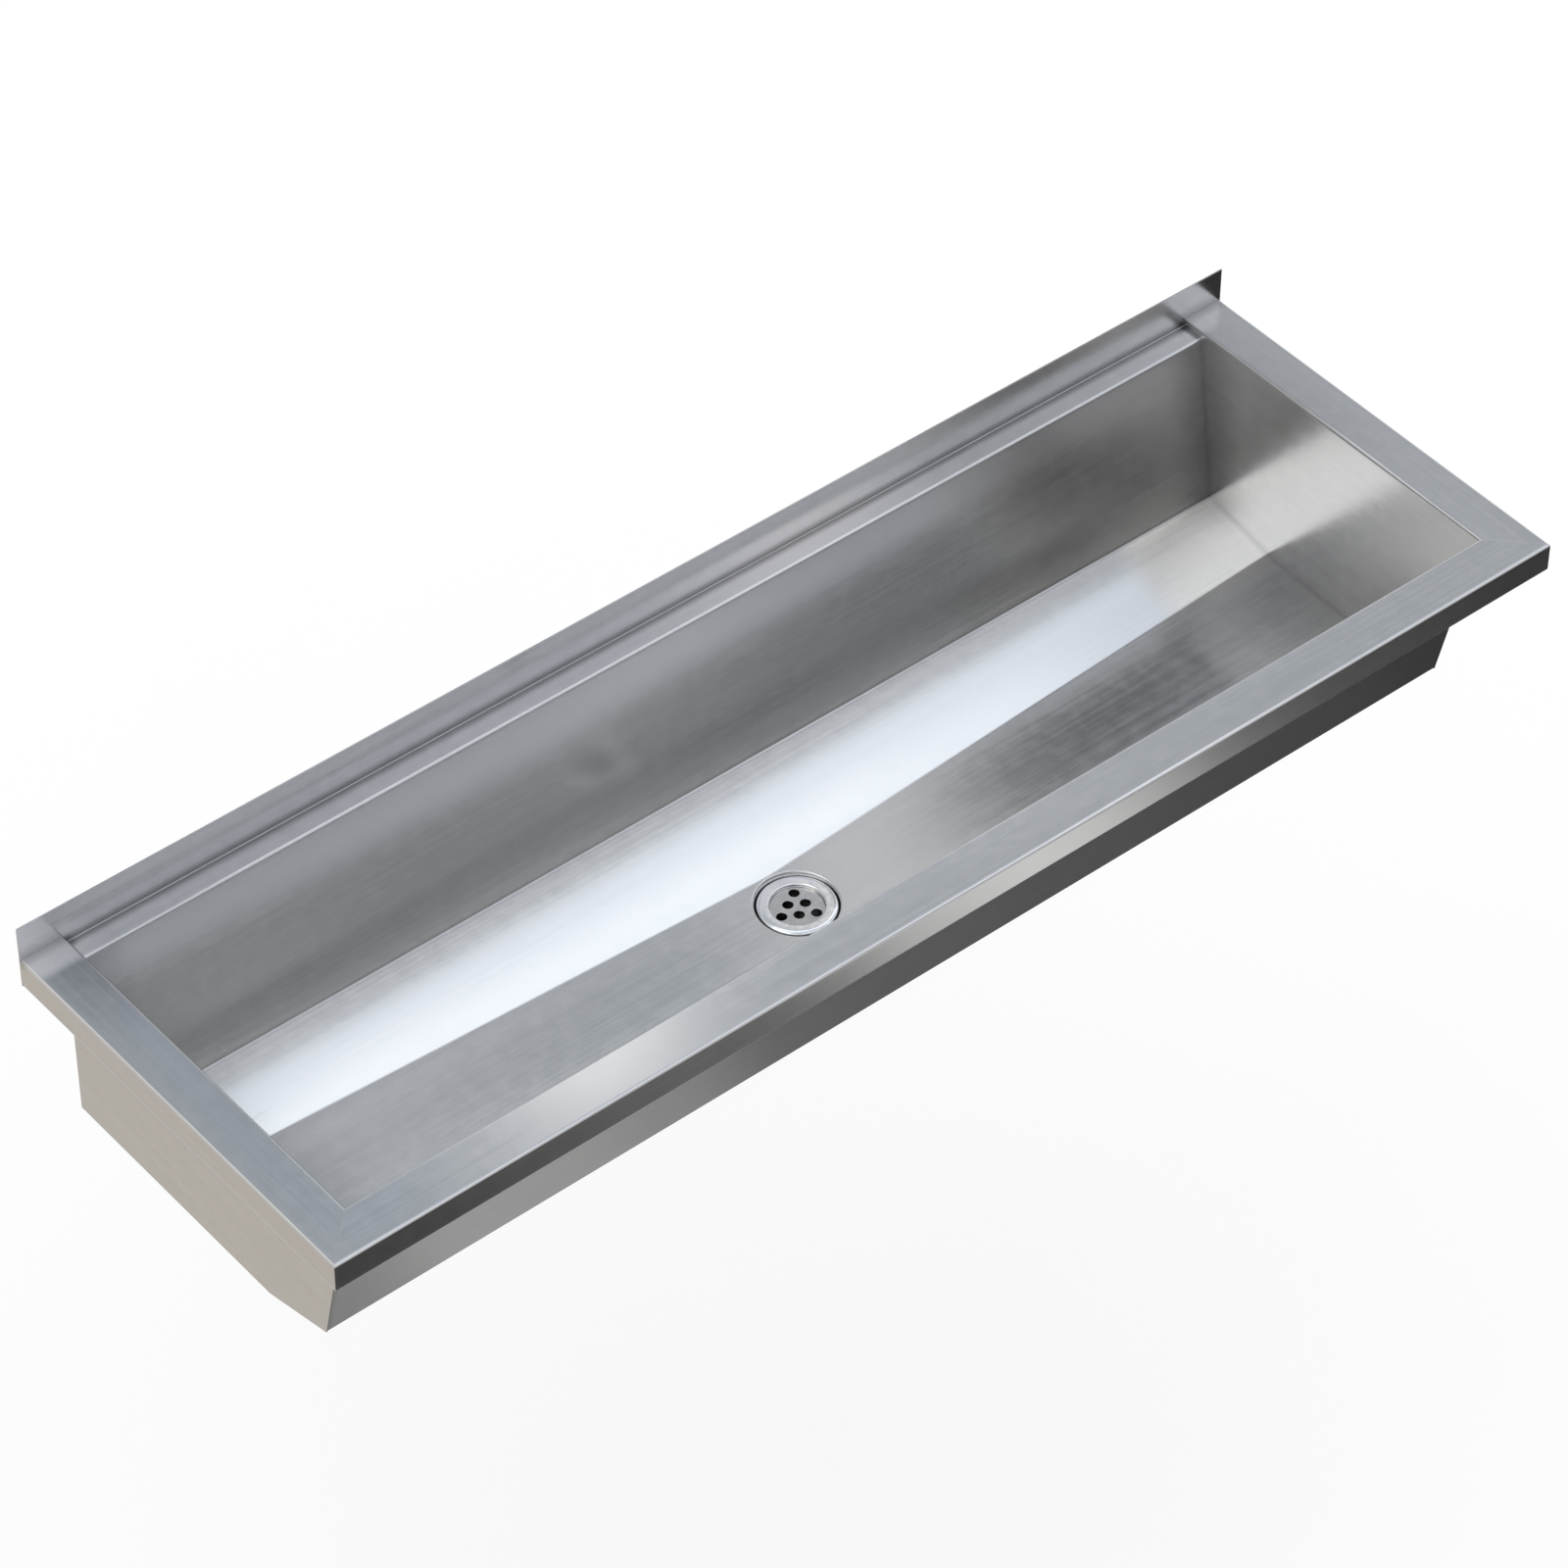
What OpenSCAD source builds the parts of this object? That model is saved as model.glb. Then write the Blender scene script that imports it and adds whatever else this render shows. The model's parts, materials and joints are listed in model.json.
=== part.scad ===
// Wall-hung trough sink in folded stainless sheet.
// X runs along the trough, +Y points into the wall and +Z up.
// The origin is on the wall, at mid length and at the level of the rim.

/* [Trough] */
// Overall length
trough_l = 1200; // [900:50:1800]
// Overall depth, from the wall to the front lip
trough_d = 390; // [360:10:450]
// Thickness of the stainless sheet
sheet_t = 1.2; // [1:0.1:1.5]
// Inside radius of the folds
fold_r = 1.3; // [1:0.1:2]
// Width of the flat rim at the front and at both ends
rim_w = 40; // [35:1:50]
// Height of the lip that hangs from the rim
lip_h = 28; // [24:1:34]
// Width of the return folded in under the lip
return_w = 8; // [6:1:12]

/* [Wall side] */
// Height of the upstand above the rim
upstand_h = 32; // [25:1:60]
// Width of the ledge in front of the wall
ledge_w = 23; // [21:1:30]
// How far the ledge lies below the rim
ledge_drop = 7; // [5:1:10]

/* [Basin] */
// Depth from the rim to the foot of the front and rear walls
wall_h = 165; // [150:1:175]
// How far the front wall leans in from rim to foot
front_lean = 35; // [25:1:40]
// How far the rear wall leans in from ledge to foot
rear_lean = 22.5; // [15:0.5:30]
// Height of the floor at the waste above the line where the sloping panels would meet
valley_rise = 10.5; // [7:0.5:12]
// Fall of the rear floor panel, rise over run
rear_slope = 0.195; // [0.18:0.005:0.22]
// Fall of the front floor panel, rise over run
front_slope = 0.28; // [0.26:0.01:0.32]
// Fall of the middle floor panels towards the front, rise over run
valley_cross = 0.04; // [0.03:0.005:0.05]
// Fall of the middle floor panels towards the waste, rise over run
valley_fall = 0.007; // [0.005:0.001:0.008]

/* [End plates] */
// How far the end plates reach below the foot of the front and rear walls
plate_drop = 21; // [20:1:35]
// Width of the fixing flange folded in along the wall
flange_w = 28; // [24:1:34]
// Depth from the rim to the fixing hole in the flange
flange_hole_z = 150; // [120:1:160]
// Gap between the lip and the top of the fixing flange
flange_relief = 6; // [4:1:10]
// Radius of the wall fixing holes
fixing_r = 3.5; // [3:0.25:4]

/* [Hangers] */
// Thickness of the hanger strip
strip_t = 2; // [1.5:0.5:2.5]
// Distance from the end of the basin to the middle of each hanger
hanger_end_gap = 180; // [120:10:200]
// Width of the wall bracket
bracket_w = 120; // [110:5:150]
// Width of the hook that hangs in the bracket
hook_w = 100; // [80:5:105]
// Distance between the two holes in a bracket
bracket_pitch = 80; // [60:5:90]
// Depth from the rim to the shelf that carries the hook
shelf_z = 38; // [36:1:46]
// How far the shelf stands out from the wall
shelf_out = 12; // [12:1:14]
// Height of the leg that keeps the hook on its shelf
keeper_h = 18; // [14:1:20]
// Height of the web below the shelf
web_h = 42; // [36:1:50]
// Depth of the bracket holes below the shelf
bracket_hole_drop = 24; // [18:1:28]

/* [Waste] */
// Diameter of the waste flange
waste_d = 65; // [62:1:72]
// Thickness of the waste flange
waste_flange_t = 2.2; // [1.8:0.1:2.6]
// Radius of the rounded edges of the waste flange
waste_edge_r = 1.6; // [1:0.1:1.8]
// Outside diameter of the threaded tail
tail_d = 47.8; // [46:0.1:48]
// Wall thickness of the tail above the strainer
tail_t = 1.6; // [1.4:0.1:2]
// Width of the shoulder that carries the strainer
shoulder_w = 1.4; // [1:0.1:1.6]
// Length of the outlet thread below the back nut
outlet_l = 34; // [28:1:36]
// Width of the relief groove between the nut and the outlet thread
relief_w = 1.5; // [1:0.5:3]
// Depth of the relief groove
relief_h = 0.6; // [0.4:0.1:0.8]
// Depth of the strainer below the flange
strainer_drop = 3.5; // [3:0.5:8]
// Thickness of the strainer
strainer_t = 1.5; // [1.2:0.1:2]
// Diameter of a strainer hole
strainer_hole_d = 8.8; // [7:0.1:9]
// Distance between neighbouring strainer holes
strainer_pitch = 14; // [13:0.5:14]
// Depth of the recess that the flange sits in
recess_h = 4; // [4:0.5:6]
// Gap round the flange in its recess
recess_gap = 0.5; // [0.5:0.5:3]
// Slope of the recess wall against the floor, in degrees
recess_slope = 60; // [40:5:70]
// Thickness of the seal under the flange
upper_seal_t = 1.5; // [1:0.1:2]
// Thickness of the seal under the basin
lower_seal_t = 3; // [2:0.5:4]
// Thickness of the slip washer above the nut
slip_washer_t = 1.5; // [1:0.5:2]
// Width across the flats of the back nut
nut_flats = 62; // [60:1:66]
// Height of the back nut
nut_h = 9; // [7:1:11]

/* [Fittings] */
// Distance from the end of the basin to the far end of a damping pad
pad_end_gap = 90; // [60:10:150]
// Width of a damping pad
pad_w = 70; // [50:5:75]
// Thickness of a damping pad
pad_t = 2.5; // [2:0.5:4]
// Distance from mid length to the near end of a damping pad
pad_mid_gap = 90; // [80:5:120]
// Distance from the end of the basin to the earth stud
earth_end_gap = 80; // [50:5:100]
// Depth of the earth stud below the ledge
earth_drop = 110; // [90:5:130]
// Length of the earth stud
stud_l = 16; // [12:1:20]

/* [Hidden] */
$fn = 64;

// Length by which every cut runs past what it cuts
overrun = 5;
// Straight land between a fold and the weld beside it
weld_land = 0.5;
// Play between pieces that slide over or into each other
slip = 0.2;
// Play in a thread or a press fit
fit_gap = 0.05;
// Flats that round a fold
fold_steps = 8;

steel = [0.72, 0.74, 0.76];
steel_end = [0.70, 0.68, 0.66];
polished = [0.85, 0.86, 0.88];
zinc = [0.62, 0.64, 0.66];
plastic = [0.16, 0.16, 0.17];
rubber = [0.08, 0.08, 0.08];
bitumen = [0.22, 0.22, 0.23];
brass = [0.80, 0.65, 0.32];

// Half length of the basin, to the inner face of an end plate
basin_x = trough_l/2 - rim_w;
// Places measured back from the end of the basin
hanger_x = basin_x - hanger_end_gap;
earth_x = basin_x - earth_end_gap;
pad_l = basin_x - pad_end_gap - pad_mid_gap;
// Depth from the rim to the lower edge of the end plates
plate_h = wall_h + plate_drop;
// Length of the leg that a rim folds down into the basin
rim_leg = fold_r + sheet_t + weld_land;

// Corners of the basin section, as [y, z] on the inner face
front_corner = [rim_w - trough_d, 0];
front_foot = [front_corner.x + front_lean, -wall_h];
rear_corner = [-ledge_w, -ledge_drop];
rear_foot = [rear_corner.x - rear_lean, -wall_h];
keel = meet(rear_foot, rear_foot + [-1, -rear_slope], front_foot, front_foot + [1, -front_slope]);
// Depth from the rim to the floor at the waste
basin_depth = -keel.y - valley_rise;
front_top = front_corner + rim_leg*unit(front_foot - front_corner);
rear_top = rear_corner + rim_leg*unit(rear_foot - rear_corner);
section = [rear_top, rear_foot, keel, front_foot, front_top];

// The waste stands midway between the two feet
waste_y = (front_foot.x + rear_foot.x)/2;
// Heights of the waste stack
seat_z = -basin_depth - recess_h;
flange_z = seat_z + upper_seal_t;
strainer_z = flange_z + waste_flange_t - strainer_drop;
under_z = seat_z - sheet_t;
washer_z = under_z - lower_seal_t - slip_washer_t;
outlet_z = washer_z - nut_h - relief_w;
// Radii of the waste stack
flange_r = waste_d/2;
recess_r = flange_r + recess_gap;
tail_r = tail_d/2;
mouth_r = tail_r - tail_t;
waste_hole_r = tail_r + weld_land;
seal_margin = 3;
nut_collar_h = 2;

// Values of the earth point
earth_r = 3;
earth_base_r = 4.5;
earth_base_h = 1;
earth_washer_r = 6;
earth_washer_t = 1;
earth_tag_r = 7;
earth_tag_t = 0.8;
earth_tab_w = 6.3;
earth_tab_l = 18;
earth_nut_flats = 10;
earth_nut_h = 5;
washer_teeth = 8;
tooth_w = 2;

pad_corner_r = 6;
hook_margin = 3;

function unit(v) = v/norm(v);

// Point where the line through p and q meets the line through r and s
function meet(p, q, r, s) =
    let (u = q - p, v = s - r, w = r - p)
    p + u*(w.x*v.y - w.y*v.x)/(u.x*v.y - u.y*v.x);

// Step of length g to the left of the line from p to q
function left(p, q, g) = g*[p.y - q.y, q.x - p.x]/norm(q - p);

// An open outline moved to its left by g
function moved(pts, g) = [
    for (i = [0 : len(pts) - 1])
        i == 0 ? pts[0] + left(pts[0], pts[1], g) :
        i == len(pts) - 1 ? pts[i] + left(pts[i - 1], pts[i], g) :
        meet(
            pts[i - 1] + left(pts[i - 1], pts[i], g), pts[i] + left(pts[i - 1], pts[i], g),
            pts[i] + left(pts[i], pts[i + 1], g), pts[i + 1] + left(pts[i], pts[i + 1], g)
        )
];

function heading(p, q) = atan2(q.y - p.y, q.x - p.x);

function turn(p, q, r) =
    let (a = heading(q, r) - heading(p, q))
    a > 180 ? a - 360 : a < -180 ? a + 360 : a;

// Points of one face of a fold at corner q, the face g to the left of the path
function fold_arc(p, q, r, t, inside, g) =
    let (
        a = turn(p, q, r),
        h = heading(p, q),
        side = a > 0 ? 1 : -1,
        centre_off = a > 0 ? inside + t : inside,
        radius = abs(centre_off - side*g),
        back = centre_off*tan(abs(a)/2),
        centre = q - back*unit(q - p) + left(p, q, side*centre_off)
    )
    [
        for (i = [0 : fold_steps])
            let (b = h - side*90 + a*i/fold_steps)
            centre + radius*[cos(b), sin(b)]
    ];

// One face of a folded sheet, the face g to the left of the path
function face(pts, t, inside, g) =
    let (last = len(pts) - 1)
    concat(
        [pts[0] + left(pts[0], pts[1], g)],
        [
            for (i = [1 : last - 1])
                each fold_arc(pts[i - 1], pts[i], pts[i + 1], t, inside, g)
        ],
        [pts[last] + left(pts[last - 1], pts[last], g)]
    );

function reversed(pts) = [for (i = [len(pts) - 1 : -1 : 0]) pts[i]];

// Section of a folded sheet: pts are the sharp corners of its right-hand face
module folded(pts, t, inside) {
    polygon(concat(face(pts, t, inside, 0), reversed(face(pts, t, inside, t))));
}

// Points of a round corner about a centre
function corner_arc(centre, r, from, to) = [
    for (i = [0 : fold_steps])
        let (a = from + (to - from)*i/fold_steps)
        centre + r*[cos(a), sin(a)]
];

// Stands a [y, z] section up and runs it from -x to +x
module along_x(x) {
    rotate([90, 0, 90])
        translate([0, 0, -x])
            linear_extrude(2*x)
                children();
}

// Turns children to lie on a middle floor panel, side 1 right and -1 left
module on_valley(side) {
    tilt = -side*atan(valley_fall);
    translate([0, waste_y, -basin_depth])
        rotate([atan(valley_cross*cos(tilt)), tilt, 0])
            children();
}

// Space above a middle floor panel lowered by g
module above_valley(side, g) {
    on_valley(side)
        translate([-trough_l, -trough_d, -g])
            cube([2*trough_l, 2*trough_d, trough_d]);
}

// Solid inside an outline, cut to lie above the middle floor panels lowered by g
module basin_body(pts, g, x) {
    intersection() {
        along_x(x)
            polygon(pts);
        above_valley(1, g);
        above_valley(-1, g);
    }
}

// Outer skin of the basin, filled in past its inner face
module basin_skin() {
    within = moved(section, -overrun);
    basin_body(concat(moved(section, sheet_t), [within[len(within) - 1], within[0]]), sheet_t, basin_x);
}

// Hollow of the basin, run on above its walls
module basin_hollow() {
    rear_rise = overrun*unit(rear_corner - rear_foot);
    front_rise = overrun*unit(front_corner - front_foot);
    basin_body(
        [rear_top + rear_rise, rear_foot, keel, front_foot, front_top + front_rise],
        0, basin_x + overrun
    );
}

// Cone of the recess round the waste, its floor moved down by g
module recess(g) {
    height = recess_h + g + overrun;
    radius = recess_r + g*tan(recess_slope/2);
    translate([0, waste_y, seat_z - g])
        cylinder(h = height, r1 = radius, r2 = radius + height/tan(recess_slope));
}

module basin_pan() {
    color(steel)
        difference() {
            union() {
                basin_skin();
                recess(sheet_t);
            }
            basin_hollow();
            recess(0);
            translate([0, waste_y, seat_z - sheet_t - overrun])
                cylinder(h = sheet_t + 2*overrun, r = waste_hole_r);
        }
}

// Section of a rim, from its leg in the basin over the top to the return under the lip
module rim_section(corner, leg_end, out) {
    folded([leg_end, corner, [out, 0], [out, -lip_h], [out + return_w, -lip_h]], sheet_t, fold_r);
}

// Corner wedge in front of the mitre at the right-hand end
module mitre(keep_front) {
    outer = [trough_l/2, -trough_d];
    far = trough_d + overrun;
    translate([0, 0, -lip_h - overrun])
        linear_extrude(lip_h + 2*overrun)
            translate(outer)
                polygon([
                    [overrun, -overrun],
                    keep_front ? [overrun, far] : [-far, -overrun],
                    [-far, far]
                ]);
}

module front_rim() {
    color(steel)
        difference() {
            along_x(trough_l/2)
                rim_section(front_corner, front_top, -trough_d);
            mitre(true);
            mirror([1, 0, 0])
                mitre(true);
        }
}

module right_rim() {
    color(steel)
        difference() {
            translate([0, -sheet_t, 0])
                rotate([90, 0, 0])
                    linear_extrude(trough_d - sheet_t)
                        mirror([1, 0])
                            rim_section([-basin_x, 0], [-basin_x, -rim_leg], -trough_l/2);
            mitre(false);
        }
}

module left_rim() {
    mirror([1, 0, 0])
        right_rim();
}

module rear_ledge() {
    color(steel) {
        along_x(basin_x)
            folded(
                [[-sheet_t, upstand_h], [-sheet_t, -ledge_drop], rear_corner, rear_top],
                sheet_t, fold_r
            );
        for (side = [0, 1])
            mirror([side, 0, 0])
                translate([basin_x, -sheet_t, -lip_h])
                    cube([rim_w, sheet_t, lip_h + upstand_h]);
    }
}

module right_end_plate() {
    skin = moved([keel, front_foot, front_top], sheet_t);
    floor_line = moved([rear_foot, keel, front_foot], sheet_t);
    kink = meet(floor_line[1], skin[1], [0, -plate_h], [1, -plate_h]);
    flange_top = -lip_h - flange_relief;
    fold_out = fold_r + sheet_t;
    brow = meet(skin[1], skin[2], [0, -rim_leg], [1, -rim_leg]);
    color(steel_end) {
        translate([basin_x, 0, 0])
            rotate([90, 0, 90])
                linear_extrude(sheet_t)
                    polygon([
                        brow, skin[1], kink,
                        [-fold_out, -plate_h], [-fold_out, flange_top],
                        [-sheet_t, flange_top], [-sheet_t, -rim_leg]
                    ]);
        difference() {
            translate([0, 0, -plate_h])
                linear_extrude(plate_h + flange_top)
                    folded(
                        [
                            [basin_x + sheet_t, -fold_out - weld_land],
                            [basin_x + sheet_t, 0],
                            [basin_x - flange_w, 0]
                        ],
                        sheet_t, fold_r
                    );
            translate([basin_x - flange_w/2, overrun, -flange_hole_z])
                rotate([90, 0, 0])
                    cylinder(h = 2*overrun, r = fixing_r);
        }
    }
}

module left_end_plate() {
    mirror([1, 0, 0])
        right_end_plate();
}

module right_hanger_hook() {
    ledge_under = -ledge_drop - sheet_t;
    leg_y = 2*strip_t - shelf_out;
    color(zinc)
        translate([hanger_x, 0, 0])
            along_x(hook_w/2)
                folded(
                    [
                        [leg_y, -shelf_z],
                        [leg_y, ledge_under],
                        [hook_margin - ledge_w, ledge_under]
                    ],
                    strip_t, strip_t/2
                );
}

module left_hanger_hook() {
    mirror([1, 0, 0])
        right_hanger_hook();
}

module right_wall_bracket() {
    color(zinc)
        translate([hanger_x, 0, 0])
            difference() {
                along_x(bracket_w/2)
                    folded(
                        [
                            [0, -shelf_z - web_h],
                            [0, -shelf_z],
                            [-shelf_out, -shelf_z],
                            [-shelf_out, keeper_h - shelf_z]
                        ],
                        strip_t, strip_t/2
                    );
                for (side = [-1, 1])
                    translate([side*bracket_pitch/2, overrun, -shelf_z - bracket_hole_drop])
                        rotate([90, 0, 0])
                            cylinder(h = strip_t + 2*overrun, r = fixing_r);
            }
}

module left_wall_bracket() {
    mirror([1, 0, 0])
        right_wall_bracket();
}

// Flange and threaded tail in one piece, with a shoulder inside for the strainer
module waste_fitting() {
    top = flange_z + waste_flange_t;
    low = outlet_z - outlet_l;
    relief_top = outlet_z + relief_w;
    throat_r = mouth_r - shoulder_w;
    shoulder_z = strainer_z - strainer_t;
    color(polished)
        translate([0, waste_y, 0])
            rotate_extrude()
                polygon(concat(
                    [
                        [tail_r, low], [tail_r, outlet_z],
                        [tail_r - relief_h, outlet_z], [tail_r - relief_h, relief_top],
                        [tail_r, relief_top], [tail_r, flange_z], [flange_r, flange_z]
                    ],
                    corner_arc([flange_r - waste_edge_r, top - waste_edge_r], waste_edge_r, 0, 90),
                    corner_arc([mouth_r + waste_edge_r, top - waste_edge_r], waste_edge_r, 90, 180),
                    [[mouth_r, shoulder_z], [throat_r, shoulder_z], [throat_r, low]]
                ));
}

// Places of the strainer holes: three round the middle and three beyond them
function strainer_places() = [
    for (i = [0 : 2])
        each [
            strainer_pitch/sqrt(3)*[cos(120*i), sin(120*i)],
            2*strainer_pitch/sqrt(3)*[cos(120*i + 60), sin(120*i + 60)]
        ]
];

module strainer() {
    color(polished)
        translate([0, waste_y, strainer_z - strainer_t])
            difference() {
                cylinder(h = strainer_t, r = mouth_r - fit_gap);
                for (place = strainer_places())
                    translate([place.x, place.y, -overrun])
                        cylinder(h = strainer_t + 2*overrun, r = strainer_hole_d/2);
            }
}

module ring(inner, outer, h) {
    difference() {
        cylinder(h = h, r = outer);
        translate([0, 0, -overrun])
            cylinder(h = h + 2*overrun, r = inner);
    }
}

module upper_seal() {
    color(rubber)
        translate([0, waste_y, seat_z])
            ring(waste_hole_r + slip, flange_r - seal_margin, upper_seal_t);
}

module lower_seal() {
    color(rubber)
        translate([0, waste_y, under_z - lower_seal_t])
            ring(tail_r + slip, recess_r - seal_margin, lower_seal_t);
}

module slip_washer() {
    color(plastic)
        translate([0, waste_y, washer_z])
            ring(tail_r + slip, recess_r - seal_margin, slip_washer_t);
}

module back_nut() {
    color(brass)
        translate([0, waste_y, washer_z - nut_h])
            difference() {
                union() {
                    cylinder(h = nut_h - nut_collar_h, r = nut_flats/sqrt(3), $fn = 6);
                    cylinder(h = nut_h, r = nut_flats/2);
                }
                translate([0, 0, -overrun])
                    cylinder(h = nut_h + 2*overrun, r = tail_r + fit_gap);
            }
}

module right_damping_pad() {
    long = pad_l/2 - pad_corner_r;
    wide = pad_w/2 - pad_corner_r;
    color(bitumen)
        on_valley(1)
            translate([pad_mid_gap + pad_l/2, 0, -sheet_t - pad_t])
                linear_extrude(pad_t) {
                    square([pad_l, 2*wide], center = true);
                    square([2*long, pad_w], center = true);
                    for (x = [-long, long], y = [-wide, wide])
                        translate([x, y])
                            circle(pad_corner_r);
                }
}

module left_damping_pad() {
    mirror([1, 0, 0])
        right_damping_pad();
}

// Turns children to stand on the outer face of the rear wall, at the earth point
module on_rear_wall(h) {
    down = unit(rear_foot - rear_corner);
    spot = rear_corner + earth_drop*down + left(rear_corner, rear_foot, sheet_t);
    translate([earth_x, spot.x, spot.y])
        rotate([heading([0, 0], down), 0, 0])
            translate([0, 0, h])
                children();
}

module earth_stud() {
    color(polished)
        on_rear_wall(0) {
            cylinder(h = earth_base_h, r = earth_base_r);
            cylinder(h = stud_l, r = earth_r);
        }
}

module earth_washer() {
    color(zinc)
        on_rear_wall(earth_base_h)
            difference() {
                ring(earth_r + slip, earth_washer_r, earth_washer_t);
                for (i = [0 : washer_teeth - 1])
                    rotate(360/washer_teeth*i)
                        translate([earth_base_r, -tooth_w/2, -overrun])
                            cube([earth_washer_r, tooth_w, earth_washer_t + 2*overrun]);
            }
}

module earth_tag() {
    color(brass)
        on_rear_wall(earth_base_h + earth_washer_t)
            difference() {
                union() {
                    cylinder(h = earth_tag_t, r = earth_tag_r);
                    translate([0, -earth_tab_w/2, 0])
                        cube([earth_tag_r + earth_tab_l, earth_tab_w, earth_tag_t]);
                }
                translate([0, 0, -overrun])
                    cylinder(h = earth_tag_t + 2*overrun, r = earth_r + slip);
            }
}

module earth_nut() {
    color(polished)
        on_rear_wall(earth_base_h + earth_washer_t + earth_tag_t)
            difference() {
                cylinder(h = earth_nut_h, r = earth_nut_flats/sqrt(3), $fn = 6);
                translate([0, 0, -overrun])
                    cylinder(h = earth_nut_h + 2*overrun, r = earth_r + fit_gap);
            }
}

basin_pan();
rear_ledge();
front_rim();
left_rim();
right_rim();
left_end_plate();
right_end_plate();
left_hanger_hook();
right_hanger_hook();
left_wall_bracket();
right_wall_bracket();
waste_fitting();
strainer();
upper_seal();
lower_seal();
slip_washer();
back_nut();
left_damping_pad();
right_damping_pad();
earth_stud();
earth_washer();
earth_tag();
earth_nut();
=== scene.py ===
import json
import math

import bmesh
import bpy
from mathutils import Matrix, Vector, geometry

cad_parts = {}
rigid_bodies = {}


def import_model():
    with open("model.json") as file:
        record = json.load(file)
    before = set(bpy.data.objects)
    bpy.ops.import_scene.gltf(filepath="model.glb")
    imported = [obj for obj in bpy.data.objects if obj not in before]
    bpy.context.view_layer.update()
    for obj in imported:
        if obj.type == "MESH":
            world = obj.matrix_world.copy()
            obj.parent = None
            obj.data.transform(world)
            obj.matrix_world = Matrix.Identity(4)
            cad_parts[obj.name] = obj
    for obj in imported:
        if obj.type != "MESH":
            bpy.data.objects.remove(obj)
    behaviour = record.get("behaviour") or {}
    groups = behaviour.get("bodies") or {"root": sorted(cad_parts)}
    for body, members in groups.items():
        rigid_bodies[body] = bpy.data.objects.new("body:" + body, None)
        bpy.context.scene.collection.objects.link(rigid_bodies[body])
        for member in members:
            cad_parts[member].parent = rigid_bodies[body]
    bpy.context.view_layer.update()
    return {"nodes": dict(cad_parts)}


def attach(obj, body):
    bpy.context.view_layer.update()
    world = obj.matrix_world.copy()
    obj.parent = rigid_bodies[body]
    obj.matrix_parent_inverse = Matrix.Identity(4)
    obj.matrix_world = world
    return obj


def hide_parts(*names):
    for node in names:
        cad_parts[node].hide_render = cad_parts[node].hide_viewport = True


mm = 0.001
for stray in list(bpy.data.objects):  # a start file may hold its own cube, lamp and camera
    bpy.data.objects.remove(stray)
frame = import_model()
nodes = frame["nodes"]
print("frame loaded:", len(nodes), "nodes")


# Nodes and materials

def put(tree, kind, settings=None, sockets=None):
    node = tree.nodes.new(kind)
    for name, value in (settings or {}).items():
        setattr(node, name, value)
    for name, value in (sockets or {}).items():
        if isinstance(value, bpy.types.NodeSocket):
            tree.links.new(value, node.inputs[name])
        else:
            node.inputs[name].default_value = value
    return node


def stretched(tree, place, scale, turned=(0, 0, 0)):
    return put(tree, "ShaderNodeMapping", sockets={
        "Vector": place, "Scale": scale, "Rotation": turned}).outputs["Vector"]


def noise(tree, place, scale=1.0, detail=2.0, roughness=0.5, distortion=0.0):
    return put(tree, "ShaderNodeTexNoise", sockets={
        "Vector": place, "Scale": scale, "Detail": detail, "Roughness": roughness,
        "Distortion": distortion}).outputs["Fac"]


def ranged(tree, value, low, high, toLow, toHigh):
    return put(tree, "ShaderNodeMapRange", {"interpolation_type": "SMOOTHSTEP"}, {
        "Value": value, "From Min": low, "From Max": high,
        "To Min": toLow, "To Max": toHigh}).outputs["Result"]


def maths(tree, operation, a, b):
    return put(tree, "ShaderNodeMath", {"operation": operation}, {0: a, 1: b}).outputs[0]


def mixed(tree, factor, a, b, blend="MIX"):
    # a colour mix takes its colours on inputs 6 and 7 and gives its result on output 2
    return put(tree, "ShaderNodeMix", {"data_type": "RGBA", "blend_type": blend},
               {0: factor, 6: a, 7: b}).outputs[2]


def weighed(tree, a, b, shareOfA):
    return maths(tree, "ADD", maths(tree, "MULTIPLY", a, shareOfA), maths(tree, "MULTIPLY", b, 1 - shareOfA))


def axesOf(tree, vector):
    return put(tree, "ShaderNodeSeparateXYZ", sockets={0: vector}).outputs


def bumped(tree, height, strength, distance, below=None):
    sockets = {"Height": height, "Strength": strength, "Distance": distance}
    if below is not None:
        sockets["Normal"] = below
    return put(tree, "ShaderNodeBump", sockets=sockets).outputs["Normal"]


def newMaterial(name):
    material = bpy.data.materials.new(name)
    material.use_nodes = True
    tree = material.node_tree
    place = tree.nodes.new("ShaderNodeTexCoord").outputs["Object"]
    return material, tree, place


def wired(material, colour, rough, normal, metallic=1.0):
    shader = material.node_tree.nodes["Principled BSDF"]
    for socket, value in (("Base Color", colour), ("Roughness", rough), ("Normal", normal)):
        material.node_tree.links.new(value, shader.inputs[socket])
    shader.inputs["Metallic"].default_value = metallic
    return material


# The grain, the streaks and the scratches have a noise scale across the brushing and one along it
steelLook = {
    "colour": (0.615, 0.612, 0.606, 1),
    "shade": (0.585, 0.583, 0.578, 1),
    "roughness": 0.20,
    "roughnessSpread": 0.022,
    "scratchRoughness": 0.03,
    "grainScale": (1100, 14),
    "streakScale": (320, 4),
    "scratchScale": (130, 7),
    "scratchTurn": 0.14,
    "blotchScale": 60,
    "waveScale": 4.5,
    "waveHeight": 0.00045,
    "dimpleHeight": 0.00005,
    "streakHeight": 0.000018,
    "grainHeight": 0.000014,
    "scratchHeight": 0.00001,
    "grainStrength": 0.25,
}


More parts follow.
